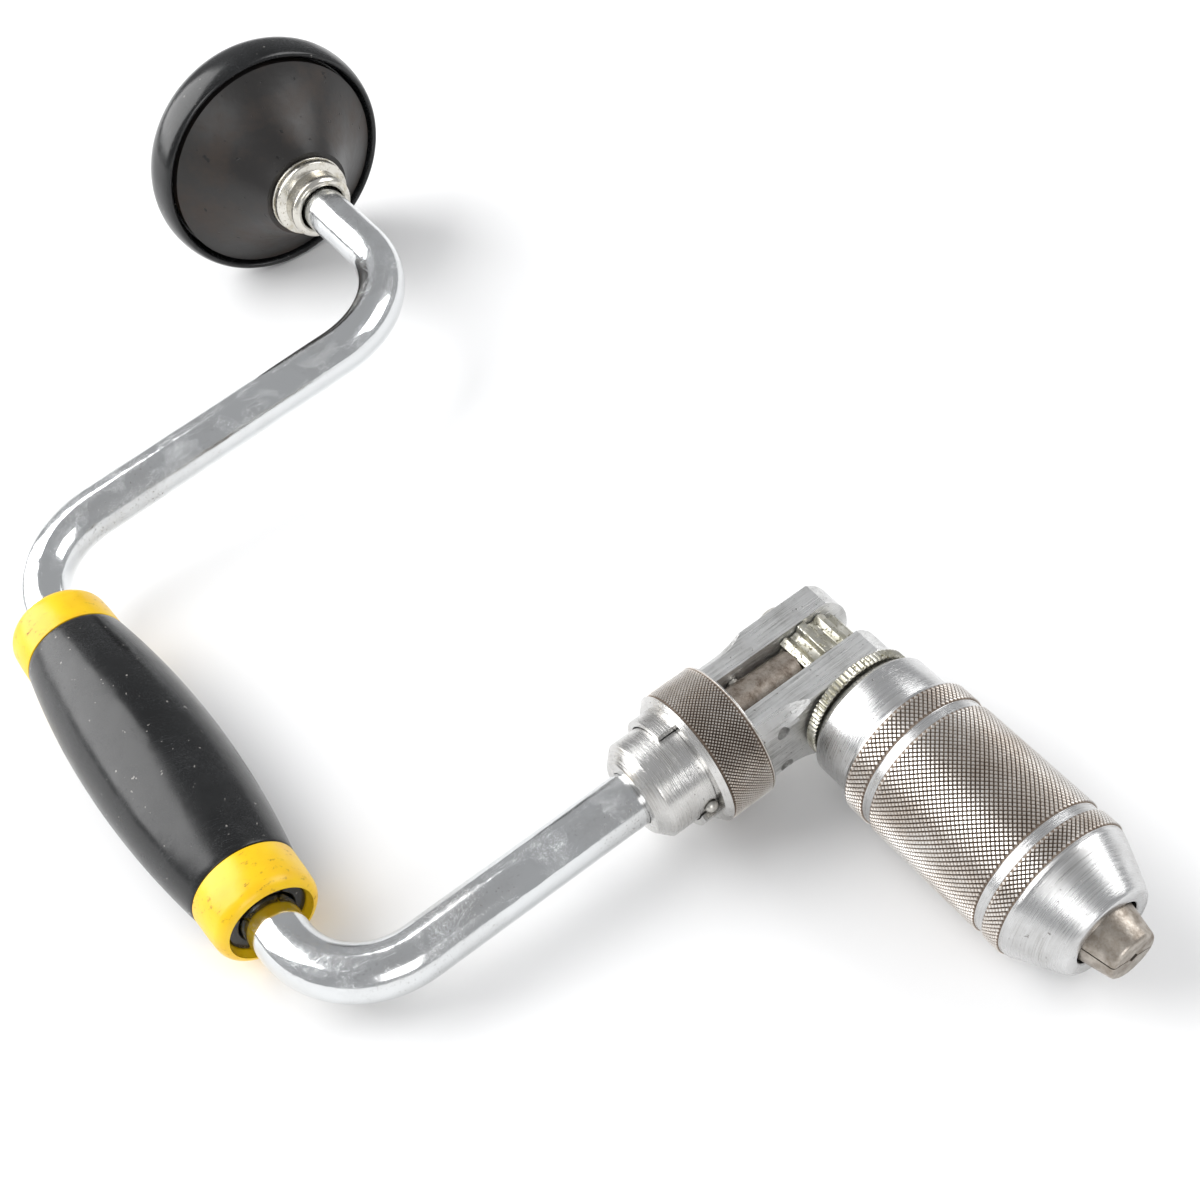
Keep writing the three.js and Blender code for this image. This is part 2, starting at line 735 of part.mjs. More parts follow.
function chuckShell() {
  const rear = shoulderFront + faceGap;
  const front = rear + shellLength;
  const noseStart = front - noseLength;
  const bore = stemRadius + runningGap;
  const groove = shellRadius - grooveDepth;
  const rearGroove = rear + knurlBandLength;
  const frontGroove = noseStart - lipStep - frontBandLength - grooveWidth;
  const mouth = jawMouthRadius + runningGap + 0.2;
  return turnedRing([
    [bore, rear],
    [shellRadius - 0.7, rear],
    [shellRadius, rear + 0.7],
    [shellRadius, rearGroove],
    [groove, rearGroove],
    [groove, rearGroove + grooveWidth],
    [shellRadius, rearGroove + grooveWidth],
    [shellRadius, frontGroove],
    [groove, frontGroove],
    [groove, frontGroove + grooveWidth],
    [shellRadius, frontGroove + grooveWidth],
    [shellRadius, noseStart - lipStep],
    [shellRadius - 0.6, noseStart - 0.2],
    [shellRadius - 0.6, noseStart],
    [noseRadius + 0.4, front - 0.9],
    [noseRadius - 0.5, front],
    [mouth, front],
    [jawRadiusAt(coneFront) + runningGap + 0.2, coneFront + seamGap],
    [bore, coneFront + seamGap],
  ]);
}

// ---------- assembly

function headGroup() {
  const group = new THREE.Group();
  const nutStation = upperRace - raceThickness - faceGap - headNutThickness / 2;
  const quillBore = quillRadius + seamGap;
  const washerBack = washerFace - collarWasherThickness;
  const washer = tube(quillBore, flangeRadius + collarWasherOverhang, washerBack, washerFace);
  const collarNut = tube(quillBore, collarNutRadius, collarNutFace - collarNutThickness, collarNutFace);
  const lowerRing = tube(barRadius + runningGap, raceRadius, lowerRace - raceThickness, lowerRace);
  const upperRing = tube(journalRadius + pinGap, raceRadius, upperRace - raceThickness, upperRace);
  const nut = hexNut(journalRadius + pinGap, headNutFlats, headNutThickness);
  group.add(
    part('head_dome', headDome(), 'black'),
    part('head_underside', headUnderside(), 'charcoal'),
    part('head_collar', headCollar(), 'nickel'),
    part('head_washer', washer, 'nickel'),
    part('head_collar_nut', collarNut, 'satin'),
    part('head_race_lower', lowerRing, 'hardened'),
    part('head_ball_cage', ballCage(), 'bronze', [0, cageStation, 0]),
    part('head_race_upper', upperRing, 'hardened'),
    part('head_nut', nut, 'satin', [0, nutStation, 0]),
  );
  group.rotation.z = -Math.PI / 2;
  return group;
}

function gripGroup() {
  const group = new THREE.Group();
  const half = barrelLength / 2;
  group.add(
    part('grip_core', gripCore(), 'black'),
    part('grip_barrel', gripBarrel(), 'black'),
    part('grip_ring_lower', gripRing(), 'yellow', [0, half, 0]),
    part('grip_ring_upper', gripRing(), 'yellow', [0, -half, 0], [Math.PI, 0, 0]),
  );
  group.rotation.z = -Math.PI / 2;
  group.position.set(gripStation, -sweepRadius, 0);
  return group;
}

function ratchetGroup() {
  const group = new THREE.Group();
  const tilt = radians(-pawlTilt);
  group.add(part('ratchet_yoke', ratchetYoke(), 'satin'));
  const forward = [0, radians(-selectorTravel / 2), 0];
  group.add(part('selector_ring', selectorRing(), 'knurled', [0, 0, 0], forward));
  const pin = stopPin().rotateX(Math.PI / 2).rotateY(radians(stopPinAngle));
  group.add(part('selector_stop_pin', pin, 'hardened', [0, stopPinStation, 0]));
  const pinHalf = neckFlat - pawlPinRecess;
  for (const [place, side, turn] of [['upper', 1, 0], ['lower', -1, Math.PI]]) {
    const pivot = [0, pawlPivotStation, side * pawlPivotHeight];
    const pinBar = acrossX(rod(pawlPinRadius, -pinHalf, pinHalf, smallSides));
    group.add(part('pawl_' + place, pawl(), 'jawSteel', pivot, [tilt, turn, 0]));
    group.add(part('pawl_pin_' + place, pinBar, 'hardened', pivot));
  }
  const spring = coilSpring(2, 0.35, 6, 5).rotateX(Math.PI / 2);
  group.add(part('pawl_spring', spring, 'hardened', [0, selectorFront - camDepth + 4, 0]));
  group.add(part('ratchet_wheel', ratchetWheel(), 'yellowZinc'));
  return group;
}

function chuckGroup() {
  const group = new THREE.Group();
  const washerFrontFace = spindleTail - seamGap;
  const screwFace = washerFrontFace - spindleWasherThickness - seamGap;
  const screw = acrossX(turned([
    [0, screwFace - 2.6],
    [3.6, screwFace - 2.6],
    [4.6, screwFace - 1.4],
    [4.6, screwFace],
    [screwHoleRadius - pinGap, screwFace],
    [screwHoleRadius - pinGap, spindleTail + screwHoleDepth - 1],
    [0, spindleTail + screwHoleDepth - 1],
  ], smallSides));
  const slot = block([screwFace - 3, screwFace - 1.6], [-6, 6], [-0.5, 0.5]);
  const washerBack = washerFrontFace - spindleWasherThickness;
  const washerBore = screwHoleRadius + pinGap;
  const washer = acrossX(tube(washerBore, spindleWasherRadius, washerBack, washerFrontFace, smallSides));
  const collar = acrossX(tube(spindleRadius + pinGap, collarRadius, earFace + collarGap, collarFront));
  const washerStart = coneFront - coneWasherThickness;
  const coneWasher = acrossX(tube(jawRadiusAt(washerStart) + 0.6, stemRadius - 0.2, washerStart, coneFront));
  group.add(
    part('chuck_body', chuckBody(), 'satin'),
    part('spindle_washer', washer, 'hardened'),
    part('spindle_screw', carve(screw, [], [slot]), 'hardened'),
    part('thrust_collar', collar, 'yellowZinc'),
    part('jaw_cone', acrossX(jawCone()), 'hardened'),
    part('cone_washer', coneWasher, 'bronze'),
    part('chuck_shell', acrossX(chuckShell()), 'knurled'),
  );
  const jaws = new THREE.Group();
  jaws.add(part('jaw_upper', jaw(), 'jawSteel'));
  jaws.add(part('jaw_lower', jaw(), 'jawSteel', [0, 0, 0], [Math.PI, 0, 0]));
  for (const [place, side] of [['near', 1], ['far', -1]]) {
    const spring = coilSpring(jawSpringRadius, jawSpringWire, jawSpringLength, 4).rotateX(Math.PI / 2);
    jaws.add(part('jaw_spring_' + place, spring, 'hardened', [springStation, side * springOffset, 0]));
  }
  jaws.rotation.x = radians(-jawTurn);
  group.add(jaws);
  return group;
}

// Turns the tool so that the head's rim, the grip's barrel and the chuck's shell touch the ground.
function layDown(group) {
  const shellFront = shoulderFront + faceGap + shellLength - noseLength - lipStep;
  const slope = (headRadius - shellRadius) / (headStation - shellFront);
  const swell = (barrelLength / 2) ** 2 / (2 * (barrelMiddleRadius - barrelEndRadius)) * slope ** 2 / 2;
  const gripReach = barrelMiddleRadius + swell;
  const lean = (gripReach - shellRadius - slope * (gripStation - shellFront)) / -sweepRadius;
  const up = new THREE.Vector3(slope, lean, 1).normalize();
  const ahead = new THREE.Vector3(1, 0, 0).addScaledVector(up, -up.x).normalize();
  const across = up.clone().cross(ahead);
  const basis = new THREE.Matrix4().makeBasis(ahead, across, up).transpose();
  group.setRotationFromMatrix(basis);
  const box = new THREE.Box3().setFromObject(group, true);
  const middle = box.getCenter(new THREE.Vector3());
  group.position.set(-middle.x, -middle.y, -box.min.z);
}

const brace = new THREE.Group();
brace.add(part('sweep', sweepBar(), 'plated'), headGroup(), gripGroup(), ratchetGroup(), chuckGroup());
layDown(brace);

export default brace;
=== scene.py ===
# A hand-cranked bit brace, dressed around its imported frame.
import json
from math import atan2, cos, hypot, pi, radians, sin, sqrt, tan

import bmesh
import bpy
from mathutils import Matrix, Vector


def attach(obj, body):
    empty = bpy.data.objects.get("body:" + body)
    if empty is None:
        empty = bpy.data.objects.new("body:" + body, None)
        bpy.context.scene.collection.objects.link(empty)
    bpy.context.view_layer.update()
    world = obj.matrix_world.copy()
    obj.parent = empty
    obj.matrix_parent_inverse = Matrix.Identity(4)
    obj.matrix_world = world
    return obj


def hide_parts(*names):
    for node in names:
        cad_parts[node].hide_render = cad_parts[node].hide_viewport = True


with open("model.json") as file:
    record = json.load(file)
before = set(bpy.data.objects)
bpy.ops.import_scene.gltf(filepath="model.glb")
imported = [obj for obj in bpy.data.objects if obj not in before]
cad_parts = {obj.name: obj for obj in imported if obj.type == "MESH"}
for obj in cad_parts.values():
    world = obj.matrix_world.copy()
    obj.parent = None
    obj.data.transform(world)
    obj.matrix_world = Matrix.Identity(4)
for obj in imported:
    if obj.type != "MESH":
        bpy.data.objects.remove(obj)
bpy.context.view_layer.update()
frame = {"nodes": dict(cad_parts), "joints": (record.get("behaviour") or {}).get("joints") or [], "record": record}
nodes = frame["nodes"]
joints = {joint["name"]: joint for joint in frame["joints"]}
slotOfNode = {row["node"]: row["material_slot"] for row in frame["record"]["subparts"]}
mm = 0.001

# The tool's own axes, in millimetres: x runs along the main axis to the bit, y from the grip to the
# main axis, z square to the bow, and the origin is the centre of the ratchet wheel.
alongAxis = Vector(joints["chuck_spin"]["axis"]).normalized()
alongArm = Vector(joints["selector_turn"]["axis"]).normalized()
squareToBow = alongAxis.cross(alongArm).normalized()
wheelCentre = Vector(joints["chuck_spin"]["pos_m"])
toolFrame = Matrix((alongAxis, alongArm, squareToBow)).transposed().to_4x4()
toolFrame.translation = wheelCentre
toRow = toolFrame @ Matrix.Scale(mm, 4)
toTool = toRow.inverted()
gripAxis = toTool @ Vector(joints["grip_spin"]["pos_m"])
jawOpening = (toTool.to_3x3() @ Vector(joints["jaw_upper_slide"]["axis"])).normalized()
jawTurn = atan2(-jawOpening.y, jawOpening.z)
print("frame loaded:", len(nodes), "nodes, sweep radius", round(-gripAxis.y, 1), "mm")


def linear(hexColor):
    # sRGB hex to the linear colour that shaders take
    parts = [int(hexColor[i:i + 2], 16) / 255 for i in (1, 3, 5)]
    return (*[c / 12.92 if c <= 0.04045 else ((c + 0.055) / 1.055) ** 2.4 for c in parts], 1)


def addNode(tree, kind, options=None, values=None, links=None):
    # one node with its options, its plain input values and the sockets that feed it
    node = tree.nodes.new("ShaderNode" + kind)
    for name, value in (options or {}).items():
        setattr(node, name, value)
    for name, value in (values or {}).items():
        node.inputs[name].default_value = value
    for name, socket in (links or {}).items():
        tree.links.new(socket, node.inputs[name])
    return node


def startMaterial(name, **shader):
    # the shader with its constants, and coordinates that run along the tool's own axes in millimetres
    material = bpy.data.materials.new(name)
    material.use_nodes = True
    tree = material.node_tree
    tree.nodes.clear()
    surface = addNode(tree, "BsdfPrincipled", values=shader)
    out = addNode(tree, "OutputMaterial")
    tree.links.new(surface.outputs[0], out.inputs[0])
    place = addNode(tree, "TexCoord")
    turn = toTool.to_3x3().normalized().to_euler()
    tool = addNode(tree, "Mapping", values={
        "Location": toTool.translation, "Rotation": turn, "Scale": (1 / mm,) * 3},
        links={"Vector": place.outputs["Object"]})
    return material, tree, surface, tool.outputs[0]


def stretched(tree, where, scale, detail=4, rough=0.6, offset=(0, 0, 0)):
    # noise whose grain is 1/scale millimetres along each axis
    mapped = addNode(tree, "Mapping", values={"Scale": scale, "Location": offset}, links={"Vector": where})
    grain = addNode(tree, "TexNoise", values={"Scale": 1.0, "Detail": detail, "Roughness": rough},
                    links={"Vector": mapped.outputs[0]})
    return grain.outputs["Fac"]


def step(tree, value, low, high, toLow=0.0, toHigh=1.0):
    # value taken from low..high to toLow..toHigh, and held at the ends
    ranged = addNode(tree, "MapRange", {"clamp": True}, {
        "From Min": low, "From Max": high, "To Min": toLow, "To Max": toHigh}, {"Value": value})
    return ranged.outputs[0]


def mixed(tree, share, first, second):
    # two colours, each a hex string or a socket
    mix = addNode(tree, "Mix", {"data_type": "RGBA"})
    tree.links.new(share, mix.inputs[0])
    for index, color in ((6, first), (7, second)):
        if isinstance(color, str):
            mix.inputs[index].default_value = linear(color)
        else:
            tree.links.new(color, mix.inputs[index])
    return mix.outputs[2]


def reckon(tree, operation, first, second):
    # arithmetic on two values, each a number or a socket
    node = addNode(tree, "Math", {"operation": operation})
    for index, value in enumerate((first, second)):
        if isinstance(value, (int, float)):
            node.inputs[index].default_value = value
        else:
            tree.links.new(value, node.inputs[index])
    return node.outputs[0]


def relief(tree, surface, height, depth):
    # depth is in millimetres for a height of one
    bump = addNode(tree, "Bump", values={"Strength": 1.0, "Distance": depth * mm}, links={"Height": height})
    tree.links.new(bump.outputs[0], surface.inputs["Normal"])


def feed(tree, surface, name, socket):
    tree.links.new(socket, surface.inputs[name])


def scratches(tree, where, density, seed):
    # hairline arcs in three directions, 1 where a scratch runs
    found = None
    for index, turn in enumerate((0.4, 1.3, 2.5)):
        turned = addNode(tree, "Mapping", values={
            "Rotation": (turn * 0.7, turn, turn * 1.7 + seed), "Location": (seed * 9.1, index * 5.3, 0)},
            links={"Vector": where})
        lines = stretched(tree, turned.outputs[0], (0.05, 2.6, 2.6), 2, 0.4)
        here = stretched(tree, turned.outputs[0], (0.09, 0.09, 0.09), 1, 0.5, (seed, index, 3))
        fine = step(tree, reckon(tree, "ABSOLUTE", reckon(tree, "SUBTRACT", lines, 0.5), 0), 0.006, 0.0)
        gate = step(tree, here, 0.62 - density, 0.72 - density)
        cut = reckon(tree, "MULTIPLY", fine, gate)
        found = cut if found is None else reckon(tree, "MAXIMUM", found, cut)
    return found


def axisFrame(start, along, across):
    # a frame whose x runs along a turned piece's axis, all in the tool's millimetres
    along = Vector(along).normalized()
    across = Vector(across).normalized()
    made = Matrix((along, across, along.cross(across))).transposed().to_4x4()
    made.translation = Vector(start)
    return made


mainAxis = Matrix.Identity(4)
gripFrame = axisFrame((0, gripAxis.y, 0), (1, 0, 0), (0, 1, 0))
armFrame = axisFrame((0, 0, 0), (0, 1, 0), (0, 0, 1))


def lathe(profile, sides, soften=0.0, closed=False, firm=()):
    # spins station and radius pairs about x; soften rounds the corners, apart from the firm ones
    bm = bmesh.new()
    line = [bm.verts.new((station, 0, radius)) for station, radius in profile]
    for first, second in zip(line, line[1:]):
        bm.edges.new((first, second))
    if closed:
        bm.edges.new((line[-1], line[0]))
    if soften:
        corners = [vert for index, vert in enumerate(line) if len(vert.link_edges) == 2 and index not in firm]
        bmesh.ops.bevel(bm, geom=corners, affect="VERTICES", offset=soften, segments=3, profile=0.5,
                        material=-1, clamp_overlap=True)
    bmesh.ops.spin(bm, geom=bm.verts[:] + bm.edges[:], cent=(0, 0, 0), axis=(1, 0, 0), angle=2 * pi,
                   steps=sides, use_merge=True)
    bmesh.ops.remove_doubles(bm, verts=bm.verts, dist=1e-4)
    bmesh.ops.recalc_face_normals(bm, faces=bm.faces)
    return bm


def build(bm, name, local, body, material, stands=(), sharp=32):
    # puts a bmesh drawn in a local frame in its place as a piece of the object
    bmesh.ops.transform(bm, matrix=toRow @ local, verts=bm.verts)
    for face in bm.faces:
        face.smooth = True
    for edge in bm.edges:
        edge.smooth = edge.calc_face_angle(0) < radians(sharp)
    mesh = bpy.data.meshes.new(name)
    bm.to_mesh(mesh)
    bm.free()
    piece = bpy.data.objects.new(name, mesh)
    bpy.context.scene.collection.objects.link(piece)
    piece.data.materials.append(material)
    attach(piece, body)
    if stands:
        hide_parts(*stands)
    return piece


def addLook(piece, material, covers):
    # a second material for the faces whose centre passes the test, in the tool's millimetres
    piece.data.materials.append(material)
    for face in piece.data.polygons:
        face.material_index = 1 if covers(toTool @ face.center) else 0


def combined(bm, others, operation):
    # a boolean of one bmesh with others, all in the same frame, worked by the Boolean modifier
    for other in others:
        holders = []
        for source in (bm, other):
            mesh = bpy.data.meshes.new("working")
            source.to_mesh(mesh)
            source.free()
            holders.append(bpy.data.objects.new("working", mesh))
            bpy.context.scene.collection.objects.link(holders[-1])
        base, tool = holders
        cut = base.modifiers.new("cut", "BOOLEAN")
        cut.operation, cut.solver, cut.object = operation, "MANIFOLD", tool
        bpy.context.view_layer.update()
        shape = base.evaluated_get(bpy.context.evaluated_depsgraph_get())
        result = bpy.data.meshes.new_from_object(shape)
        for holder in holders:
            bpy.data.objects.remove(holder)
        bm = bmesh.new()
        bm.from_mesh(result)
        bmesh.ops.remove_doubles(bm, verts=bm.verts, dist=1e-4)
        bmesh.ops.dissolve_degenerate(bm, dist=1e-4, edges=bm.edges)
    return bm


def picked(items, kind):
    return [item for item in items if isinstance(item, kind)]


def turnedBy(bm, matrix):
    bmesh.ops.transform(bm, matrix=matrix, verts=bm.verts)
    return bm


def brick(x, y, z):
    low, high = Vector((x[0], y[0], z[0])), Vector((x[1], y[1], z[1]))
    bm = bmesh.new()
    bmesh.ops.create_cube(bm, size=1, matrix=Matrix.Translation((low + high) / 2)
                          @ Matrix.Diagonal((*(high - low), 1)))
    return bm


def roundBar(radius, start, end, sides=64):
    return lathe([(start, 0), (start, radius), (end, radius), (end, 0)], sides)


def plate(outline, start, end):
    # a flat outline of y, z points given thickness along x
    bm = bmesh.new()
    face = bm.faces.new([bm.verts.new((start, y, z)) for y, z in outline])
    grown = bmesh.ops.extrude_face_region(bm, geom=[face])["geom"]
    bmesh.ops.translate(bm, vec=(end - start, 0, 0), verts=picked(grown, bmesh.types.BMVert))
    bmesh.ops.recalc_face_normals(bm, faces=bm.faces)
    return bm


def wearLayer(bm, low, high):
    # 0 at the bottom of a knurl's cuts and 1 on its tops, measured from the axis
    layer = bm.verts.layers.float.new("wear")
    for vert in bm.verts:
        vert[layer] = min(1.0, max(0.0, (vert.co.yz.length - low) / (high - low)))


def chromePlate():
    # Hard chrome over mild steel bar, buffed then worn: a sharp mirror with a cloud of fine pitting
    # and hairline rubs, which break the reflection without dulling it.
    material, tree, surface, tool = startMaterial("worn chrome plate", Metallic=1.0, Roughness=0.14)
    cloud = stretched(tree, tool, (0.035, 0.035, 0.035), 3, 0.6)
    pits = stretched(tree, tool, (1.6, 1.6, 1.6), 3, 0.7)
    worn = step(tree, cloud, 0.47, 0.66)
    speck = reckon(tree, "MULTIPLY", step(tree, pits, 0.60, 0.68), worn)
    rubs = scratches(tree, tool, 0.10, 0.3)
    feed(tree, surface, "Base Color", mixed(tree, speck, mixed(tree, worn, "#dcdedf", "#cfd0d0"), "#7d7873"))
    rough = reckon(tree, "ADD", step(tree, worn, 0, 1, 0.10, 0.20), reckon(tree, "MULTIPLY", speck, 0.30))
    feed(tree, surface, "Roughness", reckon(tree, "ADD", rough, reckon(tree, "MULTIPLY", rubs, 0.12)))
    dents = stretched(tree, tool, (0.16, 0.16, 0.16), 2, 0.5)
    height = reckon(tree, "SUBTRACT", dents, reckon(tree, "MULTIPLY", reckon(tree, "ADD", speck, rubs), 0.10))
    relief(tree, surface, height, 0.14)
    return material


def nickelPlate():
    # Nickel plate yellowed with age: warm, half bright, with brown stain in the low places.
    material, tree, surface, tool = startMaterial("aged nickel plate", Metallic=1.0, Roughness=0.24)
    stain = step(tree, stretched(tree, tool, (0.30, 0.30, 0.30), 4, 0.65), 0.50, 0.70)
    speck = step(tree, stretched(tree, tool, (1.9, 1.9, 1.9), 2, 0.6), 0.62, 0.70)
    feed(tree, surface, "Base Color", mixed(tree, speck, mixed(tree, stain, "#d4d1c9", "#bab3a0"), "#7a7160"))
    feed(tree, surface, "Roughness", reckon(tree, "ADD", step(tree, stain, 0, 1, 0.20, 0.38),
                                            reckon(tree, "MULTIPLY", speck, 0.25)))
    relief(tree, surface, stretched(tree, tool, (0.5, 0.5, 0.5), 3, 0.5), 0.05)
    return material


def cutSteel(name, grain, bright, dull, roughness, marks=0.05, nicks=0.6):
    # Bare steel as the tool left it: fine lines along the cut, a little oxide and the odd nick.
    material, tree, surface, tool = startMaterial(name, Metallic=1.0, Roughness=roughness)
    lines = stretched(tree, tool, grain, 3, 0.7)
    patch = step(tree, stretched(tree, tool, (0.11, 0.11, 0.11), 4, 0.6), 0.42, 0.68)
    nick = step(tree, stretched(tree, tool, (0.9, 0.9, 0.9), 2, 0.6), 0.69, 0.73)
    color = mixed(tree, patch, bright, dull)
    streaked = mixed(tree, step(tree, lines, 0.35, 0.70), color, bright)
    feed(tree, surface, "Base Color", mixed(tree, reckon(tree, "MULTIPLY", nick, nicks), streaked, "#5d5650"))
    lined = step(tree, lines, 0.3, 0.7, roughness - 0.06, roughness + 0.08)
    feed(tree, surface, "Roughness", reckon(tree, "ADD", lined, reckon(tree, "MULTIPLY", patch, 0.08)))
    relief(tree, surface, reckon(tree, "SUBTRACT", lines, reckon(tree, "MULTIPLY", nick, 0.5)), marks)
    return material


def knurledSteel(name):
    # Knurled bare steel: the flats of the diamonds are rubbed bright and brown grime fills the cuts.
    # The wear attribute is 0 at the bottom of a cut and 1 on the flats.
    material, tree, surface, tool = startMaterial(name, Metallic=1.0, Roughness=0.4)
    wear = addNode(tree, "Attribute", {"attribute_name": "wear"}).outputs["Fac"]
    hand = step(tree, stretched(tree, tool, (0.07, 0.07, 0.07), 4, 0.65), 0.38, 0.66)
    rough = stretched(tree, tool, (1.1, 1.1, 1.1), 3, 0.7)
    uneven = reckon(tree, "MULTIPLY", reckon(tree, "SUBTRACT", rough, 0.5), 0.3)
    top = step(tree, reckon(tree, "ADD", wear, uneven), 0.25, 0.85)
    flats = mixed(tree, hand, "#e8e5e1", "#d3cac1")
    feed(tree, surface, "Base Color", mixed(tree, top, mixed(tree, hand, "#94877b", "#75685d"), flats))
    feed(tree, surface, "Roughness", step(tree, top, 0, 1, 0.62, 0.30))
    relief(tree, surface, rough, 0.012)
    return material


def brownedSteel(name, light, dark):
    # Hardened steel gone brown-grey in the fire, mottled, with bright rubbed places.
    material, tree, surface, tool = startMaterial(name, Metallic=1.0, Roughness=0.42)
    mottle = step(tree, stretched(tree, tool, (0.34, 0.34, 0.34), 5, 0.7), 0.36, 0.66)
    grit = stretched(tree, tool, (2.2, 2.2, 2.2), 3, 0.6)
    feed(tree, surface, "Base Color", mixed(tree, mottle, light, dark))
    uneven = reckon(tree, "MULTIPLY", reckon(tree, "SUBTRACT", grit, 0.5), 0.2)
    feed(tree, surface, "Roughness", reckon(tree, "ADD", step(tree, mottle, 0, 1, 0.34, 0.52), uneven))
    relief(tree, surface, grit, 0.05)
    return material


def blackPlastic():
    # Moulded black cellulose plastic, polished by hands: a gloss broken by hair scratches, with
    # grey scuffs where it has been put down.
    material, tree, surface, tool = startMaterial("polished black plastic", Roughness=0.24, IOR=1.49)
    scuff = step(tree, stretched(tree, tool, (0.05, 0.05, 0.05), 5, 0.65), 0.46, 0.72)
    fine = scratches(tree, tool, 0.16, 1.1)
    chip = step(tree, stretched(tree, tool, (0.8, 0.8, 0.8), 2, 0.5), 0.725, 0.745)
    base = mixed(tree, scuff, "#0b0c0d", "#191a1b")
    feed(tree, surface, "Base Color", mixed(tree, chip, mixed(tree, fine, base, "#3f4144"), "#8c8985"))
    feed(tree, surface, "Roughness", reckon(tree, "ADD", step(tree, scuff, 0, 1, 0.20, 0.34),
                                            reckon(tree, "MULTIPLY", fine, 0.20)))
    wavy = stretched(tree, tool, (0.06, 0.06, 0.06), 2, 0.5)
    relief(tree, surface, reckon(tree, "SUBTRACT", wavy, reckon(tree, "MULTIPLY", fine, 0.03)), 0.3)
    return material


def charcoalPlastic():
    # The head's underside: the same plastic left satin, with brown smears and small pits.
    material, tree, surface, tool = startMaterial("satin charcoal plastic", Roughness=0.4, IOR=1.49)
    smear = step(tree, stretched(tree, tool, (0.07, 0.05, 0.06), 4, 0.65, (3, 1, 7)), 0.48, 0.68)
    pit = step(tree, stretched(tree, tool, (0.42, 0.42, 0.42), 2, 0.5, (5, 0, 0)), 0.70, 0.73)
    feed(tree, surface, "Base Color", mixed(tree, pit, mixed(tree, smear, "#211f1e", "#30261f"), "#0d0b0a"))
    feed(tree, surface, "Roughness", step(tree, smear, 0, 1, 0.36, 0.48))
    relief(tree, surface, reckon(tree, "SUBTRACT", stretched(tree, tool, (0.2, 0.2, 0.2), 3, 0.5), pit), 0.10)
    return material


def yellowPlastic():
    # Moulded yellow plastic with shop dirt rubbed into its scratches, thickest round the outer rim.
    material, tree, surface, tool = startMaterial("soiled yellow plastic", Roughness=0.34, IOR=1.49)
    dirt = stretched(tree, tool, (0.9, 0.35, 0.7), 4, 0.72)
    region = stretched(tree, tool, (0.13, 0.13, 0.13), 2, 0.5, (2, 8, 4))
    soiled = reckon(tree, "MULTIPLY", step(tree, dirt, 0.585, 0.66), step(tree, region, 0.40, 0.62))
    tint = mixed(tree, step(tree, region, 0.35, 0.7), "#f4c90c", "#ecb80a")
    feed(tree, surface, "Base Color", mixed(tree, reckon(tree, "MULTIPLY", soiled, 0.8), tint, "#5a3a14"))
    feed(tree, surface, "Roughness", step(tree, soiled, 0, 1, 0.32, 0.6))
    relief(tree, surface, dirt, 0.06)
    return material


def yellowZinc():
    # Zinc plate with a yellow passivate: olive-gold, pitted, brighter where it has rubbed.
    material, tree, surface, tool = startMaterial("yellow zinc plate", Metallic=1.0, Roughness=0.36)
    worn = step(tree, stretched(tree, tool, (0.30, 0.30, 0.30), 4, 0.7), 0.40, 0.66)
    pit = step(tree, stretched(tree, tool, (1.3, 1.3, 1.3), 3, 0.7), 0.56, 0.66)
    feed(tree, surface, "Base Color", mixed(tree, pit, mixed(tree, worn, "#b5b2a3", "#d2d0c8"), "#79745c"))
    feed(tree, surface, "Roughness", step(tree, pit, 0, 1, 0.30, 0.55))
    relief(tree, surface, pit, -0.08)
    return material


aroundAxis = (5.0, 0.10, 0.10)    # turning marks run round the main axis, about 0.2 mm apart
aroundArm = (0.10, 5.0, 0.10)
alongEars = (2.6, 0.07, 2.6)      # the ears are ground along the arm
looks = {
    "chrome": chromePlate(),
    "nickel": nickelPlate(),
    "turned": cutSteel("turned bright steel", aroundAxis, "#cfcfcf", "#adacaa", 0.24),
    "shank": cutSteel("turned shank steel", aroundArm, "#d2d1cf", "#aaa7a3", 0.22),
    "ground": cutSteel("ground steel", alongEars, "#e9e9e8", "#8f8e8b", 0.30, marks=0.30),
    "knurl": knurledSteel("knurled steel"),
    "jaw": brownedSteel("browned jaw steel", "#b5aea5", "#857b70"),
    "pawl": brownedSteel("browned pawl steel", "#b9b0a6", "#6e6257"),
    "hard": cutSteel("hardened steel", (0.8, 0.8, 0.8), "#c4c2bc", "#8d877e", 0.30),
    "zinc": yellowZinc(),
    "bronze": cutSteel("machined bronze", aroundAxis, "#c09a5c", "#8f6d3c", 0.34),
    "black": blackPlastic(),
    "charcoal": charcoalPlastic(),
    "yellow": yellowPlastic(),
}
slotLooks = {
    "plated_bar": "chrome", "nickel_collar": "nickel", "satin_steel": "turned", "knurled_steel": "knurl",
    "jaw_steel": "jaw", "hardened_steel": "hard", "yellow_zinc": "zinc", "bronze": "bronze",
    "black_plastic": "black", "charcoal_plastic": "charcoal", "yellow_plastic": "yellow",
}
for node, thing in nodes.items():
    thing.data.materials.clear()
    thing.data.materials.append(looks[slotLooks[slotOfNode[node]]])
print("materials made:", len(looks))


# Bow

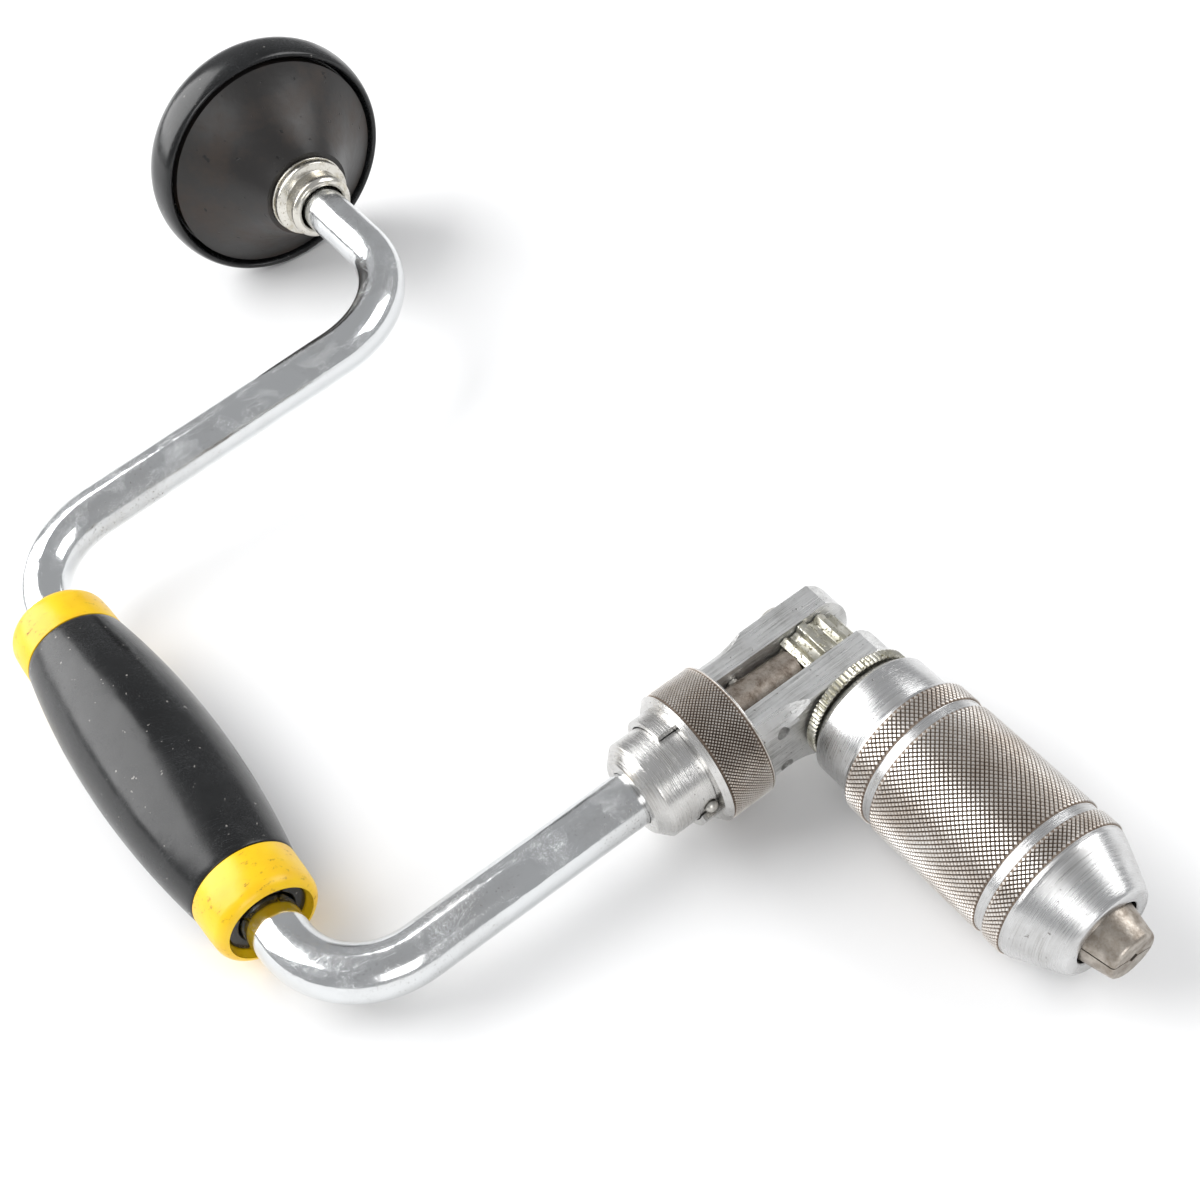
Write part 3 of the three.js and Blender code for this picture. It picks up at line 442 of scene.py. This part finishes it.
def sweepBar(end):
    # one bar swept along the bow: straight runs are extruded and the bends are spun
    radius = barSize["radius"]
    corners = [Vector(point) for point in barSize["corners"]]
    bm = bmesh.new()
    startFrame = Matrix.Translation(corners[0]) @ Matrix.Rotation(pi / 2, 4, "Y")
    ring = bmesh.ops.create_circle(bm, cap_ends=False, radius=radius, segments=barSize["sides"],
                                   matrix=startFrame)["verts"]
    edges = [edge for edge in bm.edges if edge.verts[0] in ring]
    first = list(edges)

    def onward(edges, offset):
        grown = bmesh.ops.extrude_edge_only(bm, edges=edges)["geom"]
        bmesh.ops.translate(bm, vec=offset, verts=picked(grown, bmesh.types.BMVert))
        return [edge for edge in picked(grown, bmesh.types.BMEdge)
                if all(vert in grown for vert in edge.verts)]

    place = corners[0]
    for index, bend in enumerate(barSize["bends"], start=1):
        corner = corners[index]
        back = (corners[index - 1] - corner).normalized()
        ahead = (corners[index + 1] - corner).normalized()
        half = back.angle(ahead) / 2
        enter = corner + back * bend / tan(half)
        leave = corner + ahead * bend / tan(half)
        centre = corner + (back + ahead).normalized() * bend / sin(half)
        edges = onward(edges, enter - place)
        edges = [edge for edge in edges if abs((edge.verts[0].co - enter).dot(back)) < 0.01]
        turn = pi - 2 * half
        axis = (enter - centre).cross(leave - centre).normalized()
        spun = bmesh.ops.spin(bm, geom=edges + list({v for e in edges for v in e.verts}), cent=centre,
                              axis=axis, angle=turn, steps=20, use_merge=False)["geom_last"]
        edges = picked(spun, bmesh.types.BMEdge)
        place = leave
    edges = onward(edges, Vector(end) - place)
    last = [edge for edge in edges if all(abs(vert.co.y - end[1]) < 0.01 for vert in edge.verts)]
    for loop in (first, last):
        bmesh.ops.contextual_create(bm, geom=loop)
    bmesh.ops.recalc_face_normals(bm, faces=bm.faces)
    return bm


barSize = {
    "radius": 6.33, "sides": 64,
    "corners": ((-241.05, 0, 0), (-161.9, 0, 0), (-155.9, -127, 0), (0, -127, 0), (0, -34.3, 0)),
    "bends": (30, 25.5, 21),
    "journal": 4.38, "journalEnd": -249.35,
}
stopAngle = radians(96)
pinFrame = axisFrame((0, -39.65, 0), (sin(stopAngle), 0, cos(stopAngle)), (0, 1, 0))
bar = combined(sweepBar((0, -34.3, 0)), [roundBar(barSize["journal"], barSize["journalEnd"], -239)], "UNION")
bar = combined(bar, [turnedBy(roundBar(1.5, -9.8, 13.8, 32), pinFrame)], "DIFFERENCE")
build(bar, "sweep_bar", mainAxis, "frame", looks["chrome"], ["sweep"])
print("bow made")

# Head

headSize = {
    "station": -246.5, "radius": 35.4, "dome": 18.3, "rim": 6.3, "underside": 31.4,
    "seat": 31.72, "sides": 144,
}


def domeOutside(steps):
    return [(headSize["station"] - headSize["dome"] * cos(a), headSize["radius"] * sin(a))
            for a in [pi / 2 * i / steps for i in range(steps + 1)]]


rimMiddle = (headSize["radius"] + headSize["seat"]) / 2
rimRound = (headSize["radius"] - headSize["seat"]) / 2
rim = [(headSize["station"] + headSize["rim"] * sin(a), rimMiddle + rimRound * cos(a))
       for a in [radians(10 * i) for i in range(1, 16)]]
inside = [(headSize["station"] + 1.9, headSize["seat"]), (headSize["station"] + 1.9, 30.4)]
inside += [(headSize["station"] - 14.7 * sin(a), 30.4 * cos(a)) for a in [pi / 2 * i / 10 for i in range(11)]]
dome = lathe(domeOutside(26) + rim + inside, headSize["sides"])
build(dome, "head_shell", mainAxis, "head", looks["black"], ["head_dome"])


def curve(start, bend, end, steps):
    start, bend, end = Vector(start), Vector(bend), Vector(end)
    return [((1 - t) ** 2 * start + 2 * t * (1 - t) * bend + t * t * end).to_tuple()
            for t in [i / steps for i in range(steps + 1)]]


skin = curve((-240.8, headSize["underside"]), (-234.3, 19.5), (-222.3, 12.85), 24)
back = curve((-226.6, 12.85), (-237.9, 19.5), (-243.8, 28.4), 16)
socket = [(-222.3, 9.3), (-230.2, 9.3), (-230.2, 12.85)]
cone = lathe([(-243.6, headSize["underside"])] + skin + socket + back, headSize["sides"], closed=True)
build(cone, "head_cone", mainAxis, "head", looks["charcoal"], ["head_underside"])

collarProfile = [
    (-235.5, 6.65), (-235.5, 9.0), (-221.05, 9.0), (-221.05, 11.3), (-219.1, 11.3), (-218.7, 8.85),
    (-217.6, 8.95), (-215.0, 9.25), (-213.9, 9.3), (-213.0, 8.6), (-212.75, 7.7), (-213.2, 6.9), (-214.6, 6.65),
]
collar = lathe(collarProfile, 96, soften=0.28, closed=True)
build(collar, "head_collar_turned", mainAxis, "head", looks["nickel"], ["head_collar"])
washerProfile = [(-222.15, 9.15), (-222.15, 11.55), (-221.2, 11.55), (-221.2, 9.15)]
washer = lathe(washerProfile, 96, soften=0.2, closed=True)
build(washer, "head_washer_turned", mainAxis, "head", looks["nickel"], ["head_washer"])
print("head made")

# Hand grip, in its own frame: x is measured from the middle of the grip

gripSize = {
    "middle": -78.55, "half": 40.55, "end": 12.48, "swell": 3.48, "ring": 11.7, "core": 9.2, "bar": 6.65,
    "seam": 0.15, "recess": 2.0, "slit": 1.0, "slitLength": 6.0,
}
gripPlace = gripFrame @ Matrix.Translation((gripSize["middle"], 0, 0))
half, bore = gripSize["half"], gripSize["core"] + gripSize["seam"]
swell = [(s * (half - 0.15), gripSize["end"] + gripSize["swell"] * (1 - s * s))
         for s in [i / 24 for i in range(-24, 25)]]
barrel = lathe([(-half + 0.15, bore)] + swell + [(half - 0.15, bore)], 112, closed=True)
edge = [e for e in barrel.edges if abs(abs(e.verts[0].co.x) - half + 0.15) < 0.01
        and abs(abs(e.verts[1].co.x) - half + 0.15) < 0.01 and e.verts[0].co.yz.length > bore + 1
        and e.verts[1].co.yz.length > bore + 1]
bmesh.ops.bevel(barrel, geom=edge, affect="EDGES", offset=0.45, segments=3, profile=0.5, material=-1)
build(barrel, "grip_barrel_turned", gripPlace, "grip", looks["black"], ["grip_barrel"])


def gripRing():
    length, end = gripSize["ring"], gripSize["end"]
    crown = [(length - 3.4 + 3.4 * sin(a), end - 2.55 + 2.3 * cos(a))
             for a in [radians(10 * i) for i in range(1, 10)]]
    return lathe([(0, bore), (0, end - 0.02), (length * 0.5, end - 0.12)] + crown
                 + [(length - 0.25, gripSize["core"] + 0.75), (length - gripSize["recess"], bore)],
                 112, soften=0.22, closed=True, firm=tuple(range(3, 13)))


for name, turn in (("lower", 0), ("upper", pi)):
    side = Matrix.Rotation(turn, 4, "Z") @ Matrix.Translation((half, 0, 0))
    build(gripRing(), "grip_ring_" + name + "_turned", gripPlace @ side, "grip",
          looks["yellow"], ["grip_ring_" + name])

reach = half + gripSize["ring"] - gripSize["recess"]
core = lathe([(-reach, gripSize["bar"]), (-reach, gripSize["core"]), (reach, gripSize["core"]),
              (reach, gripSize["bar"])], 96, soften=0.4, closed=True)
slits = []
for side in (-1, 1):
    for turn in (pi / 4, -pi / 4):
        ends = sorted((side * (reach - gripSize["slitLength"]), side * (reach + 1)))
        slit = brick(ends, (-12, 12), (-gripSize["slit"] / 2, gripSize["slit"] / 2))
        slits.append(turnedBy(slit, Matrix.Rotation(turn, 4, "X")))
build(combined(core, slits, "DIFFERENCE"), "grip_sleeve", gripPlace, "grip", looks["black"],
      ["grip_core"])
print("hand grip made")

# Ratchet yoke, drawn in the tool's axes: the arm is y, the bores are x

yokeSize = {
    "gap": 5.0, "gapEnd": -30.3, "face": 12.1, "half": 10.75, "end": 13.15, "rounding": 0.9,
    "neck": 14.25, "neckFlat": 12.36, "neckEnd": -19.0, "neckTop": -14.9, "flareEnd": -10.7, "flare": 2.0,
    "shoulder": -24.6, "shank": 11.77, "shankEnd": -51.5, "shankTop": -22.6, "chamfer": 2.8,
    "rearBore": 4.35, "frontBore": 6.15, "barBore": 6.5, "stopPinBore": 1.5,
    "pinStation": -19.4, "pinHeight": 6.2, "pinHole": 1.65,
}
earHalf, earEnd, shoulder, neckRadius = (yokeSize[size] for size in ("half", "end", "shoulder", "neck"))
topReach = sqrt(earEnd ** 2 - earHalf ** 2)
endAngle = atan2(earHalf, topReach)
earOutline = [(shoulder, -earHalf), (topReach, -earHalf)]
earOutline += [(earEnd * cos(a), earEnd * sin(a))
               for a in [-endAngle + 2 * endAngle * i / 40 for i in range(1, 40)]]
earOutline += [(topReach, earHalf), (shoulder, earHalf)]
ears = plate(earOutline, -yokeSize["face"], yokeSize["face"])
earEdges = [e for e in ears.edges if abs(e.verts[0].co.x) > 12
            and abs(e.verts[0].co.x - e.verts[1].co.x) < 0.01]
bmesh.ops.bevel(ears, geom=earEdges, affect="EDGES", offset=yokeSize["rounding"], segments=4, profile=0.5,
                material=-1)

flareLength = yokeSize["flareEnd"] - yokeSize["neckEnd"]
flareRun = [(yokeSize["neckEnd"] + 0.25 + flareLength * t, neckRadius + yokeSize["flare"] * t ** 2.2)
            for t in [i / 10 for i in range(11)]]
flare = lathe([(shoulder, 0), (shoulder, neckRadius), (yokeSize["neckEnd"], neckRadius)] + flareRun
              + [(-9.5, 24), (24, 24), (24, 0)], 128)
ears = combined(ears, [turnedBy(flare, armFrame)], "INTERSECT")
neck = lathe([(shoulder, 0), (shoulder, neckRadius - 0.5), (shoulder + 0.5, neckRadius),
              (yokeSize["neckTop"], neckRadius), (yokeSize["neckTop"], 0)], 128)
neckFlats = brick((-yokeSize["neckFlat"], yokeSize["neckFlat"]), (-40, 0), (-earHalf, earHalf))
neck = combined(turnedBy(neck, armFrame), [neckFlats], "INTERSECT")
shankEnd, shankRadius, chamfer = (yokeSize[size] for size in ("shankEnd", "shank", "chamfer"))
shank = lathe([(shankEnd, 0), (shankEnd, shankRadius - chamfer), (shankEnd + chamfer, shankRadius),
               (yokeSize["shankTop"], shankRadius), (yokeSize["shankTop"], 0)], 128, soften=0.25)
cuts = [
    brick((-yokeSize["gap"], yokeSize["gap"]), (yokeSize["gapEnd"], 40), (-40, 40)),
    roundBar(yokeSize["rearBore"], -30, 0.01),
    roundBar(yokeSize["frontBore"], 0, 30),
    turnedBy(roundBar(yokeSize["barBore"], -60, -34), armFrame),
    turnedBy(roundBar(yokeSize["stopPinBore"], -9.8, 13.8, 32), pinFrame),
]
for side in (1, -1):
    hole = roundBar(yokeSize["pinHole"], -30, 30, 40)
    cuts.append(turnedBy(hole, Matrix.Translation((0, yokeSize["pinStation"], side * yokeSize["pinHeight"]))))
yoke = combined(combined(ears, [neck, turnedBy(shank, armFrame)], "UNION"), cuts, "DIFFERENCE")
yokePiece = build(yoke, "yoke_body", mainAxis, "frame", looks["shank"], ["ratchet_yoke"],
                  sharp=24)


def aboveShoulder(centre):
    return centre.y > shoulder + 0.2


addLook(yokePiece, looks["ground"], aboveShoulder)

pinHead = [(11.97 + 1.4 * sin(a), 1.58 * cos(a)) for a in [pi / 2 * i / 8 for i in range(9)]]
stopPin = lathe([(-9.65, 0), (-9.65, 1.33), (11.97, 1.33)] + pinHead, 48)
build(stopPin, "stop_pin_turned", pinFrame, "frame", looks["hard"], ["selector_stop_pin"])
print("yoke made")


# Selector ring, about the arm: its knurl is cut as diamonds between the bevels
def diamondBand(start, end, pitch, around, radius, depth, flat):
    # a sleeve of diamonds, each with four sloping sides and a flat top that is a share of its width
    rows = max(2, round((end - start) / pitch))
    bm = bmesh.new()
    bottom = []
    for row in range(2 * rows + 1):
        angles = [2 * pi * (index + (row % 2) / 2) / around for index in range(around)]
        bottom.append([bm.verts.new((start + (end - start) * row / (2 * rows), (radius - depth) * sin(angle),
                                     (radius - depth) * cos(angle))) for angle in angles])
    for row in range(2 * rows - 1):
        for index in range(around):
            right = (index + row % 2) % around
            corners = [bottom[row][index], bottom[row + 1][right - 1], bottom[row + 2][index],
                       bottom[row + 1][right]]
            middle = sum((corner.co for corner in corners), Vector()) / 4
            tops = []
            for corner in corners:
                top = middle.lerp(corner.co, flat)
                top.yz = top.yz.normalized() * radius
                tops.append(bm.verts.new(top))
            bm.faces.new(tops)
            for side in range(4):
                bm.faces.new((corners[side - 1], corners[side], tops[side], tops[side - 1]))
    for row, near in ((0, 1), (2 * rows, 2 * rows - 1)):
        for index in range(around):
            bm.faces.new((bottom[row][index], bottom[row][(index + 1) % around], bottom[near][index]))
    return bm


def knurledLathe(profile, bands, sides, soften=0.0):
    # a turned piece whose plain skin between two stations is swapped for knurled bands
    bm = lathe(profile, sides, soften=soften, closed=True)
    for start, end, pitch, around, radius, depth, flat in bands:
        skin = [f for f in bm.faces if all(start - 0.01 < v.co.x < end + 0.01 for v in f.verts)
                and f.calc_center_median().yz.length > radius - 0.6 and abs(f.normal.x) < 0.5]
        bmesh.ops.delete(bm, geom=skin, context="FACES")
        band = diamondBand(start, end, pitch, around, radius, depth, flat)
        mesh = bpy.data.meshes.new("band")
        band.to_mesh(mesh)
        band.free()
        bm.from_mesh(mesh)
    bmesh.ops.remove_doubles(bm, verts=bm.verts, dist=1e-4)
    bmesh.ops.recalc_face_normals(bm, faces=bm.faces)
    return bm


selectorSize = {
    "rear": -37.9, "front": -24.9, "bore": 12.05, "radius": 16.12, "rim": 14.85, "bevel": 1.3,
    "around": 112, "pitch": 0.92, "depth": 0.42, "flat": 0.5, "skirt": 13.45, "skirtEnd": -42.2,
    "cam": 12.85, "camDepth": 6.1, "camOffset": 0.8, "pin": 53.8, "turn": -45,
}
rear, front, ringBore, ringRadius = (selectorSize[size] for size in ("rear", "front", "bore", "radius"))
knurlStart = rear + selectorSize["bevel"] + 0.35
knurlEnd = front - 0.5
floorRadius = ringRadius - selectorSize["depth"]
ringProfile = [
    (rear, ringBore), (rear, selectorSize["rim"] - 0.1), (rear + selectorSize["bevel"], ringRadius - 0.02),
    (knurlStart, floorRadius), (knurlEnd - 0.3, floorRadius), (knurlEnd, ringRadius - 0.05),
    (front - 0.15, ringRadius - 0.25), (front, ringRadius - 0.6), (front, ringBore),
]
ringKnurl = (knurlStart, knurlEnd - 0.3, selectorSize["pitch"], selectorSize["around"], ringRadius,
             selectorSize["depth"], selectorSize["flat"])
ring = knurledLathe(ringProfile, [ringKnurl], selectorSize["around"])
skirtGap = radians(selectorSize["pin"])
sweepAngles = [stopAngle + skirtGap + (2 * pi - 2 * skirtGap) * i / 72 for i in range(73)]
skirtOutline = [(selectorSize["skirt"] * sin(a), selectorSize["skirt"] * cos(a)) for a in sweepAngles]
skirtOutline += [(ringBore * sin(a), ringBore * cos(a)) for a in reversed(sweepAngles)]
skirtBand = plate(skirtOutline, selectorSize["skirtEnd"], rear + 1)
# the ring is drawn about x with y for the tool's x, so that angles run from z towards x
ringFrame = Matrix(((0, 1, 0, 0), (1, 0, 0, 0), (0, 0, 1, 0), (0, 0, 0, 1)))
camCut = turnedBy(roundBar(selectorSize["cam"], front - selectorSize["camDepth"], front + 1, 96),
                  Matrix.Translation((0, selectorSize["camOffset"], 0)))
ring = combined(combined(ring, [skirtBand], "UNION"), [camCut], "DIFFERENCE")
wearLayer(ring, ringRadius - 0.40, ringRadius - 0.06)
turnedBy(ring, ringFrame)
bmesh.ops.reverse_faces(ring, faces=ring.faces)
selector = build(ring, "selector_ring_knurled", Matrix.Rotation(radians(selectorSize["turn"]), 4, "Y"),
                 "selector", looks["knurl"], ["selector_ring"])


def offRingKnurl(centre):
    banded = rear + selectorSize["bevel"] + 0.3 < centre.y < knurlEnd
    return not (banded and hypot(centre.x, centre.z) > floorRadius - 0.1)


addLook(selector, looks["shank"], offRingKnurl)
print("selector ring made")

# Thrust collar: a coin edge of ribs round a plain ring
collarSize = {"bore": 6.15, "radius": 14.1, "rear": 12.75, "front": 15.25, "ribs": 72, "depth": 0.42}
collarRear, collarFront, collarRadius = (collarSize[size] for size in ("rear", "front", "radius"))
ribs = lathe([(collarRear, collarSize["bore"]), (collarRear, collarRadius - 0.3),
              (collarRear + 0.3, collarRadius), (collarFront - 0.3, collarRadius),
              (collarFront, collarRadius - 0.3), (collarFront, collarSize["bore"])],
             collarSize["ribs"] * 4, closed=True)
for vert in ribs.verts:
    outward = vert.co.yz.length
    if outward > collarRadius - 0.5:
        turn = round(atan2(vert.co.y, vert.co.z) / (2 * pi) * collarSize["ribs"] * 4) % 4
        vert.co.yz *= (outward - (0, 0.12, collarSize["depth"], 0.12)[turn]) / outward
build(ribs, "thrust_collar_ribbed", mainAxis, "chuck", looks["zinc"], ["thrust_collar"])

# Chuck shell: one turned sleeve with three knurled bands between plain grooves and a cone nose
shellSize = {
    "radius": 17.38, "groove": 16.87, "bore": 14.2, "rear": 28.05, "nose": 74.8, "around": 88, "pitch": 1.27,
    "depth": 0.45, "flat": 0.56, "bands": ((28.75, 34.15), (36.35, 67.15), (69.35, 73.85)),
}
shellRadius, groove, shellBore = (shellSize[size] for size in ("radius", "groove", "bore"))
shellFloor = shellRadius - shellSize["depth"]
shellProfile = [(shellSize["rear"], shellBore), (shellSize["rear"], 16.7)]
for start, end in shellSize["bands"]:
    shellProfile += [(start, shellFloor), (end, shellFloor), (end + 0.12, groove - 0.02)]
    if end < 70:
        shellProfile += [(end + 2.08, groove - 0.02)]
shellProfile += [(74.6, groove), (shellSize["nose"], groove)]
shellProfile += curve((shellSize["nose"], groove), (80.3, 14.35), (85.5, 11.68), 14)[1:]
shellProfile += [(86.1, 11.25), (86.36, 10.8), (86.36, 8.35), (86.05, 8.12), (75.97, 10.02),
                 (75.97, shellBore)]
shellKnurls = [(start, end, shellSize["pitch"], shellSize["around"], shellRadius, shellSize["depth"],
                shellSize["flat"]) for start, end in shellSize["bands"]]
shell = knurledLathe(shellProfile, shellKnurls, shellSize["around"])
wearLayer(shell, shellFloor + 0.04, shellRadius - 0.06)
shellPiece = build(shell, "chuck_shell_knurled", mainAxis, "shell", looks["knurl"],
                   ["chuck_shell"])


def offShellKnurl(centre):
    return not any(start <= centre.x <= end for start, end in shellSize["bands"])


addLook(shellPiece, looks["turned"], offShellKnurl)
print("chuck shell made")


def fromCad(*names):
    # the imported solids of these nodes, joined into one bmesh in the tool's axes
    bm = bmesh.new()
    for name in names:
        bm.from_mesh(nodes[name].data)
    turnedBy(bm, toTool)
    bmesh.ops.remove_doubles(bm, verts=bm.verts, dist=1e-3)
    return bm


def softened(bm, width, angle=35, segments=3):
    # rounds every edge sharper than the angle, as a tumbled or worn part has
    bmesh.ops.dissolve_limit(bm, angle_limit=radians(1), verts=bm.verts, edges=bm.edges)
    keen = [e for e in bm.edges if len(e.link_faces) == 2 and e.calc_face_angle(0) > radians(angle)]
    bmesh.ops.bevel(bm, geom=keen, affect="EDGES", offset=width, segments=segments, profile=0.5, material=-1,
                    clamp_overlap=True)
    return bm


# Worn or tumbled small pieces keep their shape and gain soft edges
dressed = {
    "ratchet_wheel": (0.22, "chuck", "yellow_zinc", "zinc"),
    "pawl_upper": (0.3, "upper_pawl", "jaw_steel", "pawl"),
    "pawl_lower": (0.3, "lower_pawl", "jaw_steel", "pawl"),
}
for name, (width, body, slot, look) in dressed.items():
    build(softened(fromCad(name), width), name + "_dressed", mainAxis, body, looks[look], [name])
print("ratchet dressed")


def squareBar(side, endSide, start, end):
    # a square bar along x that stands on one corner, from one side length to the other
    bm = bmesh.new()
    bmesh.ops.create_cone(bm, cap_ends=True, segments=4, radius1=side / sqrt(2), radius2=endSide / sqrt(2),
                          depth=end - start, matrix=Matrix.Translation(((start + end) / 2, 0, 0))
                          @ Matrix.Rotation(pi / 2, 4, "Y"))
    return bm


# Chuck body: a turned spindle and shoulder with a square socket and a slot for the jaws
jawSpin = Matrix.Rotation(jawTurn, 4, "X")
chuckSize = {
    "profile": ((-12.5, 0), (-12.5, 4.18), (-5, 4.18), (-5, 4.15), (5.15, 4.15), (5.15, 5.95), (15.9, 5.95),
                (15.9, 13.45), (18.0, 15.62), (27.7, 15.62), (27.7, 13.8), (50, 13.8), (50, 10.9), (60, 10.9),
                (60, 0)),
    "sides": 128, "rounding": 0.18, "key": 5.35, "keyFlat": 4.12, "screwHole": 2.05,
    "socket": (7.8, 9.4, 40, 54.8), "jawSlot": 4.5,
}
spindle = lathe(chuckSize["profile"], chuckSize["sides"])
rims = [e for e in spindle.edges if all(v.co.yz.length > 13.4 for v in e.verts)
        and abs(e.verts[0].co.x - e.verts[1].co.x) < 0.01]
bmesh.ops.bevel(spindle, geom=rims, affect="EDGES", offset=chuckSize["rounding"], segments=3, profile=0.5,
                material=-1)
keyBlock = brick((-5, 5), (-6, 6), (-chuckSize["keyFlat"], chuckSize["keyFlat"]))
key = combined(roundBar(chuckSize["key"], -4.8, 4.8, 48), [keyBlock], "INTERSECT")
spindle = combined(spindle, [key], "UNION")
slot = brick((53.7, 61), (-chuckSize["jawSlot"], chuckSize["jawSlot"]), (-12, 12))
spindle = combined(spindle, [roundBar(chuckSize["screwHole"], -13, -5.5, 32),
                             turnedBy(squareBar(*chuckSize["socket"]), jawSpin),
                             turnedBy(slot, jawSpin)], "DIFFERENCE")
build(spindle, "chuck_body_turned", mainAxis, "chuck", looks["turned"], ["chuck_body"])

jawSize = {"nose": 85.6, "noseRadius": 7.55, "slope": 0.194, "rear": 62, "tongue": 10.65, "tongueFlat": 4.15,
           "throat": 7.6, "tip": 1.8, "seam": 0.15, "springHole": 1.7, "springPlace": (66.3, 8)}


def jaw():
    # half of a tapered plug that opens along z, with a square throat for the bit
    nose, noseRadius, rearEnd = jawSize["nose"], jawSize["noseRadius"], jawSize["rear"]
    throat, tip, flat = jawSize["throat"], jawSize["tip"], jawSize["tongueFlat"]
    rearRadius = noseRadius + jawSize["slope"] * (nose - rearEnd)
    plug = lathe([(rearEnd, 0), (rearEnd, rearRadius), (nose, noseRadius), (92.3, 6.05), (92.75, 5.85),
                  (93.0, 5.5), (93.05, 5.2), (93.05, 0)], 96)
    tongue = combined(roundBar(jawSize["tongue"], 54, 62.5, 96), [brick((50, 70), (-flat, flat), (-20, 20))],
                      "INTERSECT")
    plug = combined(plug, [tongue], "UNION")
    cuts = [squareBar(throat, throat, 52, 77.6), squareBar(throat, tip, 77.59, 83.6),
            squareBar(tip, tip, 83.59, 95), brick((52, 95), (-20, 20), (-20, jawSize["seam"]))]
    springStation, springOffset = jawSize["springPlace"]
    for side in (-1, 1):
        hole = axisFrame((springStation, side * springOffset, 0), (0, 0, 1), (1, 0, 0))
        cuts.append(turnedBy(roundBar(jawSize["springHole"], 0.05, 2.6, 32), hole))
    return combined(plug, cuts, "DIFFERENCE")


for name, turn in (("upper", 0), ("lower", pi)):
    spin = jawSpin @ Matrix.Rotation(turn, 4, "X")
    build(jaw(), "jaw_" + name + "_ground", spin, name + "_jaw", looks["jaw"], ["jaw_" + name])
print("chuck body and jaws made")


# Camera at the bench-side view, with a plain pale floor and soft light
cameraSize = {"place": (188.875, -142.23, 337.534), "looksAt": (-48.1, -24.5, -1.3),
              "up": (-0.5879, 0.5428, 0.5998), "lens": 55.7, "sensor": 36}
place = toRow @ Vector(cameraSize["place"])
forward = (toRow @ Vector(cameraSize["looksAt"]) - place).normalized()
right = forward.cross((toRow.to_3x3() @ Vector(cameraSize["up"])).normalized()).normalized()
up = right.cross(forward)
camera = bpy.data.objects.new("camera", bpy.data.cameras.new("camera"))
camera.data.lens, camera.data.sensor_width = cameraSize["lens"], cameraSize["sensor"]
camera.data.clip_start, camera.data.clip_end = 0.01, 20
view = Matrix((right, up, -forward)).transposed().to_4x4()
view.translation = place
camera.matrix_world = view
bpy.context.scene.collection.objects.link(camera)
bpy.context.scene.camera = camera


def softBox(name, place, size, power):
    # a square light that faces the middle of the tool
    lamp = bpy.data.lights.new(name, "AREA")
    lamp.shape, lamp.size, lamp.energy = "SQUARE", size, power
    holder = bpy.data.objects.new(name, lamp)
    holder.location = place
    holder.rotation_euler = (-Vector(place)).to_track_quat("-Z", "Y").to_euler()
    bpy.context.scene.collection.objects.link(holder)


# each light's place in metres, width in metres and power in watts
studioSize = {
    "key light": ((-0.85, -0.75, 0.85), 1.5, 30),
    "back light": ((0.35, 0.95, 0.75), 0.7, 6),
    "side light": ((0.95, -0.35, 0.5), 0.5, 3),
}
for name, (lampPlace, width, power) in studioSize.items():
    softBox(name, lampPlace, width, power)

world = bpy.data.worlds.new("studio")
world.use_nodes = True
world.node_tree.nodes["Background"].inputs[0].default_value = linear("#f3f4f6")
world.node_tree.nodes["Background"].inputs[1].default_value = 0.50
bpy.context.scene.world = world
bpy.context.scene.view_settings.view_transform = "Standard"

flat = bmesh.new()
bmesh.ops.create_grid(flat, x_segments=1, y_segments=1, size=4)
ground = bpy.data.meshes.new("floor")
flat.to_mesh(ground)
flat.free()
floor = bpy.data.objects.new("floor", ground)
bpy.context.scene.collection.objects.link(floor)
# Matt white paper
paper = bpy.data.materials.new("white paper")
paper.use_nodes = True
paper.node_tree.nodes["Principled BSDF"].inputs["Base Color"].default_value = linear("#f4f4f4")
paper.node_tree.nodes["Principled BSDF"].inputs["Roughness"].default_value = 0.9
floor.data.materials.append(paper)

print("scene ready")
